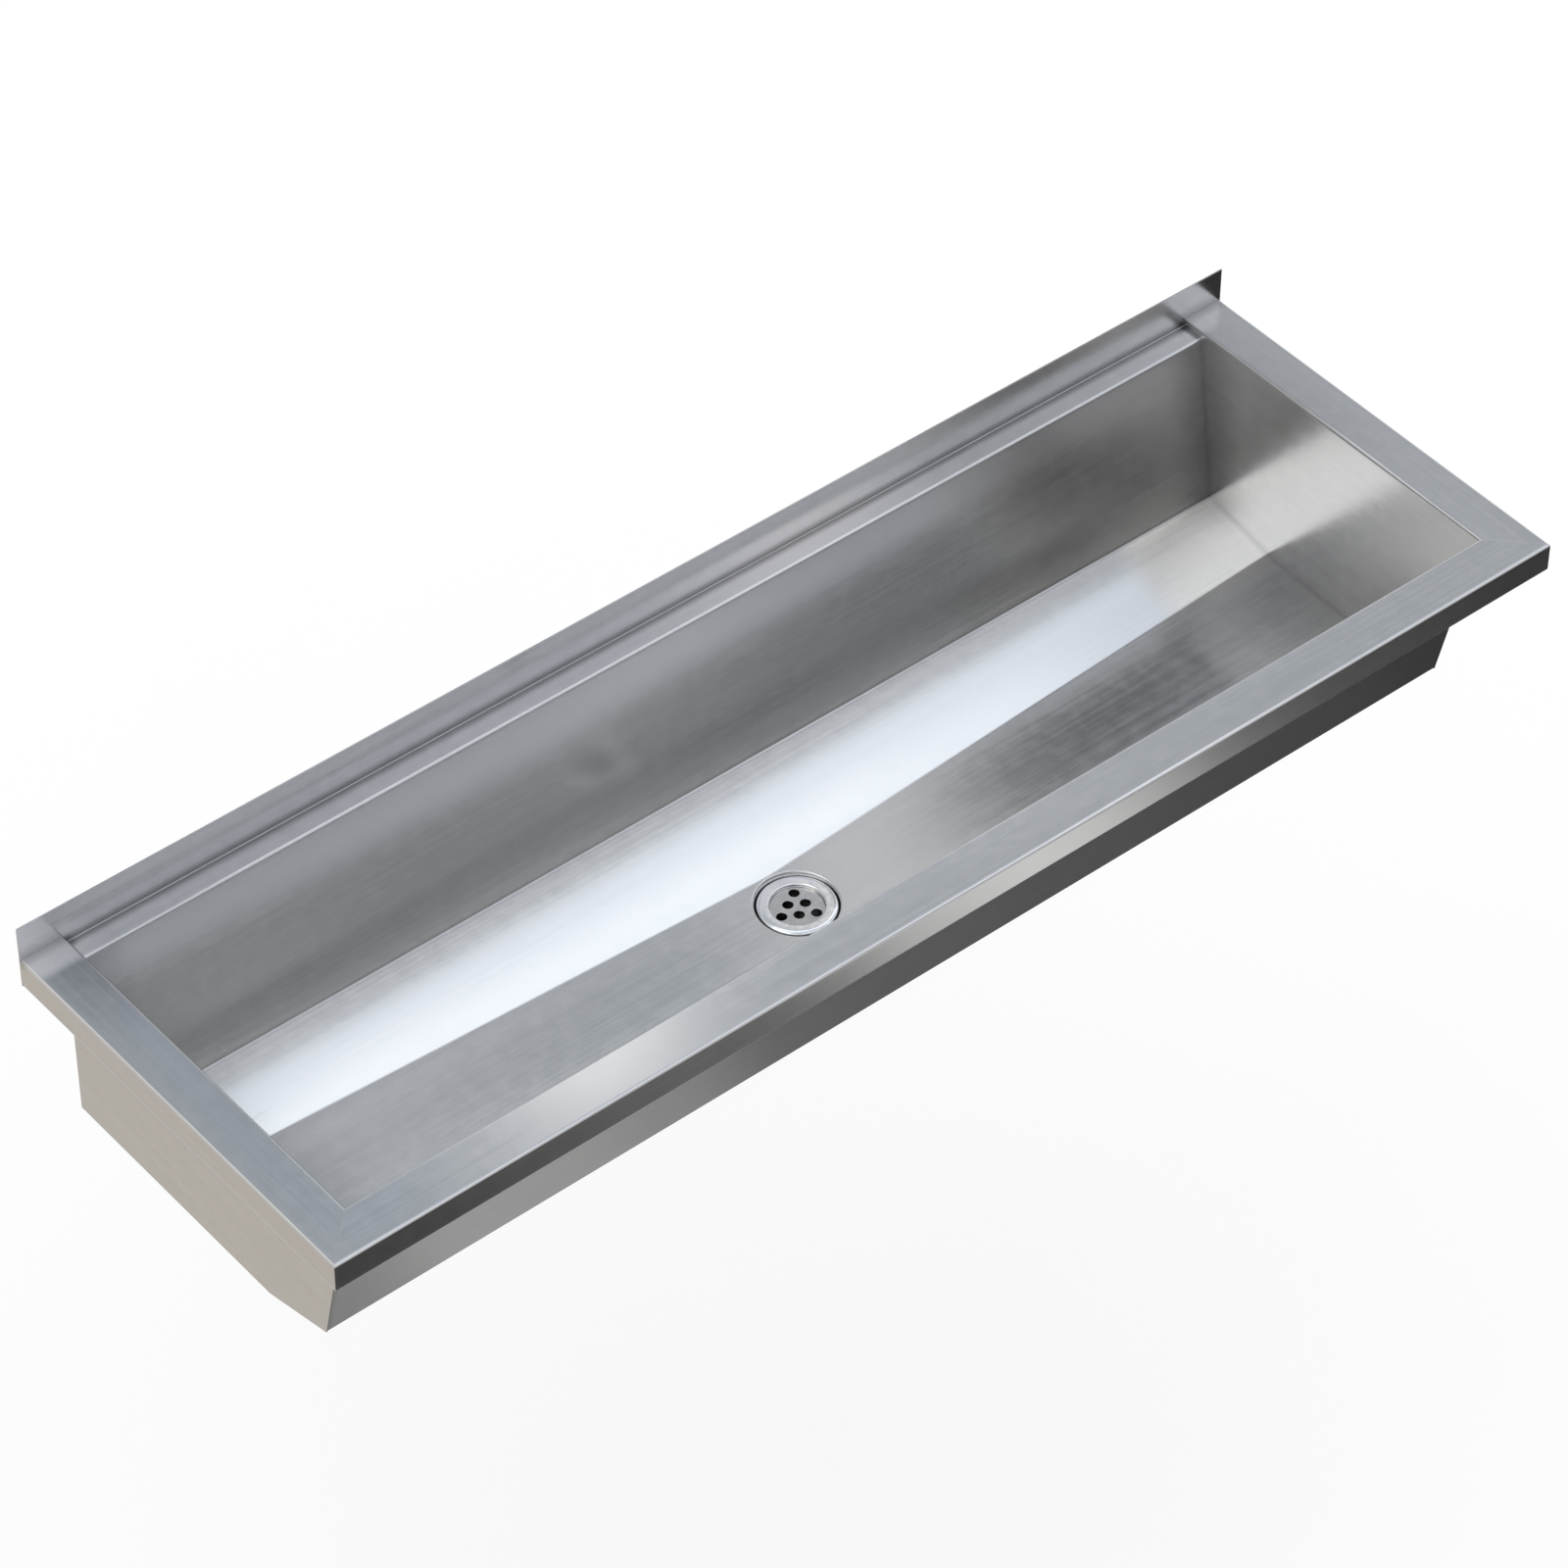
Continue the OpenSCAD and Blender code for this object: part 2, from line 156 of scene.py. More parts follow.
# Painted shade in the steel's colour where sheets meet, and one painted brightening along the basin's rear
# fold, in metres and with x taken as the distance from the middle. Each entry has the planes that meet (a
# normal and an offset), how far the painted shade reaches, how much light is left in the corner (above 1
# paints light), and the planes that it stays on the positive side of.
pastEnd = ((1, 0, 0), -0.560)
rearWall = ((0, 0.99003, -0.14086), 0.02180)
floorLevel = ((0, 0, 1), 0.165)
ledgeLevel = ((0, 0, 1), 0.007)
rimLevel = ((0, 0, 1), 0.0)
upstandFace = ((0, 1, 0), 0.0012)
insideEnds = ((-1, 0, 0), 0.5606)
# the next three keep the painted shade on the upper side of the floor's middle facet
creaseFront = ((0.0448, -1, 0), -0.1428)
bendRear = ((0.0217, 1, 0), 0.2342)
floorInside = ((-0.007, -0.04, 1), 0.17887)
rearFold = [((0, 1, 0), 0.0455), floorLevel]
frontFold = [pastEnd, ((0, 1, 0), 0.312), floorLevel]
ledgePaintedShade = [
    ([upstandFace, ledgeLevel], 0.0095, 0.60, [insideEnds]),
    ([pastEnd, ledgeLevel], 0.0040, 0.72, [insideEnds]),
    ([pastEnd, upstandFace, ledgeLevel], 0.0130, 0.60, [insideEnds]),
]
rimPaintedShade = [
    ([upstandFace, rimLevel], 0.0120, 0.66, []),
    ([pastEnd, rimLevel], 0.0030, 0.62, []),
]
basinPaintedLightAndShade = [
    ([pastEnd, rearWall], 0.050, 0.72, [insideEnds]),
    ([pastEnd], 0.0060, 0.86, [insideEnds]),
    (rearFold, 0.0040, 0.62, [insideEnds]),
    # painted light: the band's rear strip and the rear wall's foot are painted brighter along the rear fold
    (rearFold, 0.0500, 1.18, [insideEnds]),
    # painted shade on the floor's middle facet near both ends of the basin
    ([pastEnd, floorLevel], 0.1400, 0.52, [insideEnds, creaseFront, bendRear, floorInside]),
]
platePaintedShade = [
    ([pastEnd, rearWall], 0.050, 0.72, [insideEnds]),
    (frontFold, 0.1200, 0.58, [insideEnds]),
]


def paintCornerLightAndShade(tree, place, colour, paintedLightAndShade):
    # paints shade into the colour where sheets meet, and paints light where an entry leaves more than 1
    axes = axesOf(tree, place)
    fromMiddle = maths(tree, "ABSOLUTE", axes["X"], 0.0)
    spot = put(tree, "ShaderNodeCombineXYZ", sockets={0: fromMiddle, 1: axes["Y"], 2: axes["Z"]}).outputs[0]

    def fromPlane(normal, offset):
        dot = put(tree, "ShaderNodeVectorMath", {"operation": "DOT_PRODUCT"}, {0: spot, 1: normal})
        return maths(tree, "ADD", dot.outputs["Value"], offset)
    for planes, reach, left, limits in paintedLightAndShade:
        gaps = {i: fromPlane(*plane) for i, plane in enumerate(planes)}
        gap = put(tree, "ShaderNodeCombineXYZ", sockets=gaps)
        length = put(tree, "ShaderNodeVectorMath", {"operation": "LENGTH"}, {0: gap.outputs[0]})
        shade = ranged(tree, length.outputs["Value"], 0.0, reach, left, 1.0)
        for plane in limits:
            shade = mixed(tree, maths(tree, "LESS_THAN", fromPlane(*plane), 0.0), shade, (1, 1, 1, 1))
        colour = mixed(tree, 1.0, colour, shade, "MULTIPLY")
    return colour


def brushedSteel(name, axis, paintedLightAndShade=(), **changes):
    look = {**steelLook, **changes}
    material, tree, place = newMaterial(name)

    def alongAxis(scales, turned=(0, 0, 0)):
        scale = [scales[0]] * 3
        scale[axis] = scales[1]
        return stretched(tree, place, scale, turned)
    scratchTurn = [0.0, 0.0, 0.0]
    scratchTurn[(axis + 2) % 3] = look["scratchTurn"]
    grain = noise(tree, alongAxis(look["grainScale"]), detail=3, roughness=0.65)
    streaks = noise(tree, alongAxis(look["streakScale"]), detail=4, roughness=0.6)
    blotches = noise(tree, place, look["blotchScale"], 4, 0.55, 0.6)
    swells = noise(tree, place, look["blotchScale"] * 0.5, 1, 0.4)
    waves = noise(tree, place, look["waveScale"], 1, 0.4)
    scratches = noise(tree, alongAxis(look["scratchScale"], scratchTurn), detail=1, distortion=0.3)
    scratches = ranged(tree, scratches, 0.74, 0.80, 0.0, 1.0)
    tone = ranged(tree, weighed(tree, streaks, blotches, 0.55), 0.36, 0.64, 0.0, 1.0)
    # painted shade where sheets meet, and painted light along the basin's rear fold, multiplied into the base
    # colour
    colour = paintCornerLightAndShade(tree, place, mixed(tree, tone, look["shade"], look["colour"]), paintedLightAndShade)
    middle, spread = look["roughness"], look["roughnessSpread"]
    rough = maths(tree, "ADD", ranged(tree, streaks, 0.3, 0.7, middle - spread / 2, middle + spread / 2),
                  ranged(tree, blotches, 0.35, 0.7, -spread / 3, spread / 2))
    rough = maths(tree, "ADD", rough, maths(tree, "MULTIPLY", scratches, look["scratchRoughness"]))
    normal = None
    for height, strength, distance in (
            (waves, 1.0, look["waveHeight"]), (swells, 0.12, look["dimpleHeight"]),
            (streaks, 0.16, look["streakHeight"]), (grain, look["grainStrength"], look["grainHeight"]),
            (scratches, 0.06, look["scratchHeight"])):
        normal = bumped(tree, height, strength, distance, normal)
    return wired(material, colour, rough, normal)


panSteel = brushedSteel("panSteel", 0, basinPaintedLightAndShade, roughness=0.19, grainStrength=0.15)
ledgeSteel = brushedSteel("ledgeSteel", 0, ledgePaintedShade)
lengthwaysSteel = brushedSteel("lengthwaysSteel", 0)
crosswaysSteel = brushedSteel("crosswaysSteel", 1, rimPaintedShade)
plateSteel = brushedSteel("plateSteel", 1, platePaintedShade, roughness=0.215, grainStrength=0.15)


def polishedSteel(name, colour, roughness, paintedShadeBelow=None):
    material, tree, place = newMaterial(name)
    turned = noise(tree, stretched(tree, place, (60, 60, 2600)), detail=3)
    smears = noise(tree, place, 140, 3, 0.6, 0.8)
    tone = mixed(tree, ranged(tree, smears, 0.35, 0.7, 0, 1), colour, [c * 0.9 for c in colour[:3]] + [1])
    rough = ranged(tree, smears, 0.3, 0.7, roughness * 0.7, roughness * 1.6)
    if paintedShadeBelow is not None:  # painted shade: near-black colour on the inside of the tail and under the strainer, standing in for the tail's dark hollow
        centreY, radius, height = paintedShadeBelow
        shifted = put(tree, "ShaderNodeMapping", sockets={"Vector": place, "Location": (0, -centreY, 0)})
        axes = axesOf(tree, shifted.outputs["Vector"])
        squares = [maths(tree, "MULTIPLY", axes[k], axes[k]) for k in ("X", "Y")]
        reach = maths(tree, "SQRT", maths(tree, "ADD", *squares), 0.0)
        inside = maths(tree, "MULTIPLY", maths(tree, "LESS_THAN", reach, radius),
                       maths(tree, "LESS_THAN", axes["Z"], height))
        paintedTailShade = maths(tree, "MULTIPLY", inside, ranged(tree, smears, 0.3, 0.7, 0.90, 1.0))
        tone = mixed(tree, paintedTailShade, tone, (0.012, 0.011, 0.010, 1))
        rough = maths(tree, "ADD", rough, maths(tree, "MULTIPLY", paintedTailShade, 0.55))
    normal = bumped(tree, smears, 0.3, 0.00006, bumped(tree, turned, 0.3, 0.00001))
    return wired(material, tone, rough, normal)


# the painted shade inside the tail lies within this radius of the waste's middle and below this height
tailInside = (-0.18025, 0.0215, -0.19040)  # the waste's middle in y, a radius and a height, in metres
wasteSteel = polishedSteel("wasteSteel", (0.78, 0.78, 0.78, 1), 0.16, tailInside)
strainerSteel = polishedSteel("strainerSteel", (0.51, 0.51, 0.50, 1), 0.20, tailInside)
fastenerSteel = polishedSteel("fastenerSteel", (0.58, 0.58, 0.58, 1), 0.28)


def zincPlate():
    material, tree, place = newMaterial("zincPlate")
    cells = put(tree, "ShaderNodeTexVoronoi", sockets={"Vector": place, "Scale": 150.0})
    spangle = put(tree, "ShaderNodeSeparateColor", sockets={0: cells.outputs["Color"]}).outputs[0]
    dust = noise(tree, place, 320, 4, 0.6)
    colour = mixed(tree, spangle, (0.46, 0.48, 0.50, 1), (0.60, 0.62, 0.63, 1))
    rough = maths(tree, "ADD", ranged(tree, spangle, 0, 1, 0.30, 0.44), maths(tree, "MULTIPLY", dust, 0.12))
    return wired(material, colour, rough, bumped(tree, dust, 0.35, 0.00006))


def castBrass():
    material, tree, place = newMaterial("castBrass")
    turned = noise(tree, stretched(tree, place, (40, 40, 1500)), detail=2)
    tarnish = noise(tree, place, 70, 4, 0.6, 0.5)
    colour = mixed(tree, ranged(tree, tarnish, 0.4, 0.7, 0, 1), (0.72, 0.50, 0.20, 1), (0.48, 0.30, 0.12, 1))
    rough = ranged(tree, tarnish, 0.3, 0.7, 0.22, 0.42)
    return wired(material, colour, rough, bumped(tree, turned, 0.4, 0.00003))


def softMaterial(name, light, dark, roughness, grainScale, grainHeight):
    material, tree, place = newMaterial(name)
    grit = noise(tree, place, grainScale, 5, 0.65)
    patches = noise(tree, place, grainScale / 18, 3, 0.5, 0.4)
    colour = mixed(tree, ranged(tree, weighed(tree, grit, patches, 0.4), 0.38, 0.62, 0, 1), dark, light)
    rough = ranged(tree, patches, 0.3, 0.7, roughness - 0.08, roughness + 0.08)
    return wired(material, colour, rough, bumped(tree, grit, 0.5, grainHeight), 0.0)


zinc = zincPlate()
brass = castBrass()
sealRubber = softMaterial(
    "sealRubber", (0.040, 0.040, 0.042, 1), (0.018, 0.018, 0.019, 1), 0.55, 900, 0.00003)
washerPlastic = softMaterial(
    "washerPlastic", (0.80, 0.80, 0.78, 1), (0.70, 0.70, 0.68, 1), 0.38, 700, 0.00001)
padBitumen = softMaterial(
    "padBitumen", (0.085, 0.085, 0.090, 1), (0.045, 0.045, 0.048, 1), 0.72, 420, 0.00035)
print("materials made")


# Sizes that the sheet pieces share

sheet = {
    "length": 1200,
    "depth": 390,
    "thickness": 1.2,
    "foldRadius": 1.3,
    "rimWidth": 40,
    "legLength": 3.0,
    "mitreGap": 0.10,
}
halfLength = sheet["length"] / 2
basinX = halfLength - sheet["rimWidth"]


# Mesh helpers: all sizes are in millimetres until a mesh is made

weldGap = 0.01


def placed(name, data):
    piece = bpy.data.objects.new(name, data)
    bpy.context.scene.collection.objects.link(piece)
    return piece


def newObject(name, mesh, material):
    mesh.materials.clear()
    mesh.materials.append(material)
    return placed(name, mesh)


def meshObject(name, points, faces, material):
    mesh = bpy.data.meshes.new(name)
    mesh.from_pydata([Vector(p) * mm for p in points], [], faces)
    return newObject(name, mesh, material)


def cleaned(piece, merged=False):
    work = bmesh.new()
    work.from_mesh(piece.data)
    bmesh.ops.remove_doubles(work, verts=work.verts, dist=weldGap * mm)
    bmesh.ops.delete(work, geom=[v for v in work.verts if not v.link_faces], context="VERTS")
    if merged:  # flat stretches become one face each
        bmesh.ops.dissolve_limit(work, angle_limit=math.radians(0.5), verts=work.verts, edges=work.edges)
    bmesh.ops.recalc_face_normals(work, faces=work.faces)
    for face in work.faces:
        face.smooth = True
    work.to_mesh(piece.data)
    work.free()
    return piece


def baked(piece):
    graph = bpy.context.evaluated_depsgraph_get()
    graph.update()
    mesh = bpy.data.meshes.new_from_object(
        piece.evaluated_get(graph), preserve_all_data_layers=True, depsgraph=graph)
    old = piece.data
    piece.modifiers.clear()
    piece.data = mesh
    mesh.name = piece.name
    bpy.data.meshes.remove(old)
    return piece


def softened(piece, edge, segments=2, angle=35):
    bevel = piece.modifiers.new("softEdges", "BEVEL")
    bevel.width = edge * mm
    bevel.segments = segments
    bevel.limit_method = "ANGLE"
    bevel.angle_limit = math.radians(angle)
    piece.modifiers.new("evenShading", "WEIGHTED_NORMAL")
    return baked(piece)


def handedOver(piece, slot, *replaced):
    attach(piece, "root")
    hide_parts(*replaced)


def toLeft(p, q, g):
    d = (q - p).normalized()
    return Vector((-d.y, d.x)) * g


def foldedFace(path, thickness, inside, g, steps=10):
    points = [path[0] + toLeft(path[0], path[1], g)]
    for p, q, r in zip(path, path[1:], path[2:]):
        heading = math.atan2(q.y - p.y, q.x - p.x)
        turn = (math.atan2(r.y - q.y, r.x - q.x) - heading + math.pi) % (2 * math.pi) - math.pi
        side = 1 if turn > 0 else -1
        centreOff = inside + thickness if turn > 0 else inside
        backAlong = centreOff * math.tan(abs(turn) / 2)
        centre = q - (q - p).normalized() * backAlong + toLeft(p, q, side * centreOff)
        radius = abs(centreOff - side * g)
        for i in range(steps + 1):
            b = heading - side * math.pi / 2 + turn * i / steps
            points.append(centre + radius * Vector((math.cos(b), math.sin(b))))
    points.append(path[-1] + toLeft(path[-2], path[-1], g))
    return points


def shellObject(name, front, back, faces, material):
    count = len(front)
    allFaces = [list(f) for f in faces] + [[i + count for i in reversed(f)] for f in faces]
    used = {(a, b) for f in faces for a, b in zip(f, list(f[1:]) + [f[0]])}
    for a, b in used:
        if (b, a) not in used:
            allFaces.append([b, a, a + count, b + count])
    return cleaned(meshObject(name, front + back, allFaces, material))


def evenlyTurned(points, faces):
    # faces share the points that are in the same place, and all turn the same way
    places = {}
    shared = [places.setdefault(tuple(round(c, 2) for c in p), i) for i, p in enumerate(points)]
    work = bmesh.new()
    verts = [work.verts.new(p) for p in points]
    for face in faces:
        corners = [shared[i] for i in face]
        if len(set(corners)) == len(corners):
            work.faces.new([verts[i] for i in corners])
    work.verts.index_update()
    bmesh.ops.recalc_face_normals(work, faces=work.faces)
    turned = [[v.index for v in f.verts] for f in work.faces]
    work.free()
    return turned


def sweptSheet(name, path, start, end, place, material):
    path = [Vector(p) for p in path]
    front, back = [], []
    for skin, g in ((front, 0), (back, sheet["thickness"])):
        for p in foldedFace(path, sheet["thickness"], sheet["foldRadius"], g):
            skin += [place(start(p), p), place(end(p), p)]
    faces = [[i, i + 1, i + 3, i + 2] for i in range(0, len(front) - 2, 2)]
    return shellObject(name, front, back, faces, material)


def around(count):
    return [2 * math.pi * i / count for i in range(count)]


def ringFaces(rows, steps, closed=True):
    faces = []
    for row in range(rows if closed else rows - 1):
        low, high = row * steps, (row + 1) % rows * steps
        faces += [[low + i, low + (i + 1) % steps, high + (i + 1) % steps, high + i] for i in range(steps)]
    return faces


def drawn(points, edges, line, closed=False):
    first, last = len(points), len(points) + len(line) - 1
    points.extend(Vector(p) for p in line)
    edges.extend((i, i + 1) for i in range(first, last))
    if closed:
        edges.append((last, first))


def holedFaces(outline, holes):
    points, edges = [], []
    for loop in [outline] + holes:
        drawn(points, edges, loop, True)
    found = geometry.delaunay_2d_cdt(points, edges, [], 0, 1e-5)
    points, faces = found[0], found[2]

    def within(p, loop):
        odd = False
        for a, b in zip(loop, loop[1:] + loop[:1]):
            if (a[1] > p.y) != (b[1] > p.y):
                odd ^= p.x < (b[0] - a[0]) * (p.y - a[1]) / (b[1] - a[1]) + a[0]
        return odd
    kept = []
    for face in faces:
        middle = sum((points[i] for i in face), Vector((0, 0))) / len(face)
        if within(middle, outline) and not any(within(middle, h) for h in holes):
            kept.append(list(face))
    return points, kept


basin = {
    "frontCorner": (-350, 0),
    "frontFoot": (-315, -165),
    "rearCorner": (-23, -7),
    "rearFoot": (-45.5, -165),
    "frontSlope": 0.28,
    "rearSlope": 0.195,
    "middleCross": 0.04,
    "middleFall": 0.007,
    "middleRound": 3,
    "floorAtWaste": -185.478,
    "footRadius": 2.6,
    "creaseBlend": (0.22, 0.45),
    "wasteY": -180.25,
    "recessRadius": 33.0,
    "recessSlope": 66,
    "seatZ": -189.478,
    "holeRadius": 24.4,
    "recessBlend": 1.6,
    "rimBlend": 1.6,
    "stations": [0, 8, 140, 280, 420, 560],
    "ringSides": 144,
    "seatRing": 28.5,
    "slopeRings": (-0.6, -0.4, -0.2, 0, 0.2, 0.4, 0.6, 0.8, 1.0, 1.2, 1.4, 1.65, 2.0, 2.6),
    "creaseLines": (-1.5, -0.99, -0.495, 0, 0.495, 0.99, 1.5),
    "creaseKnee": (8, 6),
    "middleLines": (-8, -4, 0, 4, 8),
    "lineInset": 3,
    "bendReach": 30,
    "edge": 0.2,
}
frontCorner, frontFoot, rearCorner, rearFoot = (
    Vector(basin[k]) for k in ("frontCorner", "frontFoot", "rearCorner", "rearFoot"))
frontTop = frontCorner + (frontFoot - frontCorner).normalized() * sheet["legLength"]
rearTop = rearCorner + (rearFoot - rearCorner).normalized() * sheet["legLength"]
wasteY = basin["wasteY"]
recessRise = math.tan(math.radians(basin["recessSlope"]))


def softMax(a, b, k):
    h = max(k - abs(a - b), 0) / k
    return max(a, b) + h * h * k / 4


def floorHeight(x, y):
    rear = rearFoot.y + basin["rearSlope"] * (y - rearFoot.x)
    front = frontFoot.y - basin["frontSlope"] * (y - frontFoot.x)
    soft = basin["middleRound"]
    middle = (basin["floorAtWaste"] + basin["middleCross"] * (y - wasteY)
              + basin["middleFall"] * (math.sqrt(x * x + soft * soft) - soft))
    return softMax(softMax(middle, rear, basin["creaseBlend"][0]), front, basin["creaseBlend"][1])


def panHeight(x, y):
    reach = math.hypot(x, y - wasteY) - basin["recessRadius"]
    cone = softMax(basin["seatZ"], basin["seatZ"] + reach * recessRise, basin["recessBlend"])
    return -softMax(-floorHeight(x, y), -cone, basin["rimBlend"])


def panNormal(x, y):
    e = 0.02
    return Vector((panHeight(x - e, y) - panHeight(x + e, y),
                   panHeight(x, y - e) - panHeight(x, y + e), 2 * e)).normalized()


def slopeWidth(angle):
    # how far out from its foot the recess's wall reaches the floor's level, found in steps
    width = 2.5
    for _ in range(30):
        r = basin["recessRadius"] + width
        height = floorHeight(r * math.cos(angle), wasteY + r * math.sin(angle))
        width = (height - basin["seatZ"]) / recessRise
    return width


def creaseLine(slope, corner, side):
    # where a slope meets the floor's middle: its y at mid length, and its change per millimetre of length
    gap = slope - side * basin["middleCross"]
    level = corner.y - slope * side * corner.x - basin["floorAtWaste"] + basin["middleCross"] * wasteY
    return -side * level / gap, side * basin["middleFall"] / gap


def makeBasinPan():
    thickness, foot, run = sheet["thickness"], basin["footRadius"], basin["bendReach"]
    stations = sorted({s * side for s in basin["stations"] for side in (-1, 1)})
    rearPath = [rearTop, rearFoot, rearFoot + Vector((-run, -run * basin["rearSlope"]))]
    frontPath = [frontFoot + Vector((run, -run * basin["frontSlope"])), frontFoot, frontTop]
    rearInner, rearOuter = (foldedFace(rearPath, thickness, foot, g)[:-1] for g in (0, thickness))
    frontInner, frontOuter = (foldedFace(frontPath, thickness, foot, g)[1:] for g in (0, thickness))
    rearY, frontY = rearInner[-1].x, frontInner[0].x

    # the floor: rings round the waste, and close lines along every crease
    points, edges = [], []
    border = [(s, frontY) for s in stations] + [(s, rearY) for s in reversed(stations)]
    drawn(points, edges, border, True)
    angles = around(basin["ringSides"])
    widths = [slopeWidth(a) for a in angles]
    rings = [[radius] * len(angles) for radius in (basin["holeRadius"], basin["seatRing"])]
    rings += [[basin["recessRadius"] + width * share for width in widths] for share in basin["slopeRings"]]
    for radii in rings:
        ring = [(r * math.cos(a), wasteY + r * math.sin(a)) for a, r in zip(angles, radii)]
        drawn(points, edges, ring, True)
    kneeX, kneeDrift = basin["creaseKnee"]
    for crease, drift in (creaseLine(basin["rearSlope"], rearFoot, 1),
                          creaseLine(basin["frontSlope"], frontFoot, -1)):
        for side in (-1, 1):
            for step in basin["creaseLines"]:
                line = crease + step
                drawn(points, edges, [
                    (0, line), (side * kneeX, line + drift * kneeDrift),
                    (side * basinX, line + drift * (basinX - basin["middleRound"]))])
    for x in basin["middleLines"]:
        inset = 0 if abs(x) in (0, kneeX) else basin["lineInset"]
        drawn(points, edges, [(x, frontY + inset), (x, rearY - inset)])
    found = geometry.delaunay_2d_cdt(points, edges, [], 0, 1e-4)
    flat, flatFaces = found[0], found[2]
    front = [Vector((p.x, p.y, panHeight(p.x, p.y))) for p in flat]
    back = [p - panNormal(p.x, p.y) * thickness for p in front]
    holeEdge = basin["holeRadius"] * math.cos(math.pi / len(angles)) - 0.01
    faces = []
    for face in flatFaces:
        middle = sum((flat[i] for i in face), Vector((0, 0))) / len(face)
        if math.hypot(middle.x, middle.y - wasteY) > holeEdge:
            faces.append(list(face))

    # both walls and their feet, on the same stations as the floor's edges
    n = len(stations)
    for inner, outer in ((rearInner, rearOuter), (frontInner, frontOuter)):
        base = len(front)
        for a, b in zip(inner, outer):
            front += [Vector((s, a.x, a.y)) for s in stations]
            back += [Vector((s, b.x, b.y)) for s in stations]
        for row in range(len(inner) - 1):
            for i in range(n - 1):
                a = base + row * n + i
                faces.append([a, a + 1, a + n + 1, a + n])
    pan = shellObject("basinPan", front, back, evenlyTurned(front, faces), panSteel)
    handedOver(softened(pan, basin["edge"]), "sheet_steel", "basin_pan")


makeBasinPan()
print("basin pan folded")


rims = {
    "lipHeight": 28,
    "returnWidth": 8,
    "edge": 0.22,
}


def rimPath(corner, legEnd, out):
    drop = rims["lipHeight"]
    return [legEnd, corner, (out, 0), (out, -drop), (out + rims["returnWidth"], -drop)]


def makeFrontRim():
    def reach(p):
        return halfLength - sheet["depth"] - p.x - sheet["mitreGap"]
    rim = sweptSheet("frontRim", rimPath(frontCorner, frontTop, -sheet["depth"]),
                     lambda p: -reach(p), reach, lambda s, p: Vector((s, p.x, p.y)), lengthwaysSteel)
    handedOver(softened(rim, rims["edge"]), "sheet_steel", "front_rim")


def makeSideRim(name, side, node):
    path = rimPath((-basinX, 0), (-basinX, -sheet["legLength"]), -halfLength)
    rim = sweptSheet(name, path, lambda p: halfLength - sheet["depth"] + p.x + sheet["mitreGap"],
                     lambda p: -sheet["thickness"], lambda s, p: Vector((-side * p.x, s, p.y)),
                     crosswaysSteel)
    handedOver(softened(rim, rims["edge"]), "sheet_steel", node)


makeFrontRim()
makeSideRim("leftRim", -1, "left_rim")
makeSideRim("rightRim", 1, "right_rim")
print("rims folded and mitred")


ledge = {
    "upstand": 32,
    "edge": 0.22,
}


def makeRearLedge():
    t = sheet["thickness"]
    path = [Vector(p) for p in ((-t, ledge["upstand"]), (-t, rearCorner.y), rearCorner, rearTop)]
    stations = [-halfLength, -basinX, basinX, halfLength]
    skins = []
    for g in (0, t):
        line = foldedFace(path, t, sheet["foldRadius"], g)
        skin = [Vector((s, p.x, p.y)) for p in line for s in stations]
        skins.append(skin + [Vector((s, line[0].x, -rims["lipHeight"])) for s in stations])
    rows = len(line)
    faces = []
    for row in range(rows - 1):
        for i in range(3) if row == 0 else (1,):
            a = row * 4 + i
            faces.append([a, a + 4, a + 5, a + 1])
    low = rows * 4
    faces += [[4, low, low + 1, 5], [6, low + 2, low + 3, 7]]
    piece = shellObject("rearLedge", *skins, faces, ledgeSteel)
    handedOver(softened(piece, ledge["edge"]), "sheet_steel", "rear_ledge")


makeRearLedge()
print("ledge and upstand folded")


endPlate = {
    "depth": 186,
    "flangeWidth": 28,
    "flangeTop": -34,
    "holeDepth": 150,
    "holeRadius": 3.5,
    "edge": 0.25,
}


def meet(p, q, r, s):
    u, v, w = q - p, s - r, r - p
    return p + u * ((w.x * v.y - w.y * v.x) / (u.x * v.y - u.y * v.x))


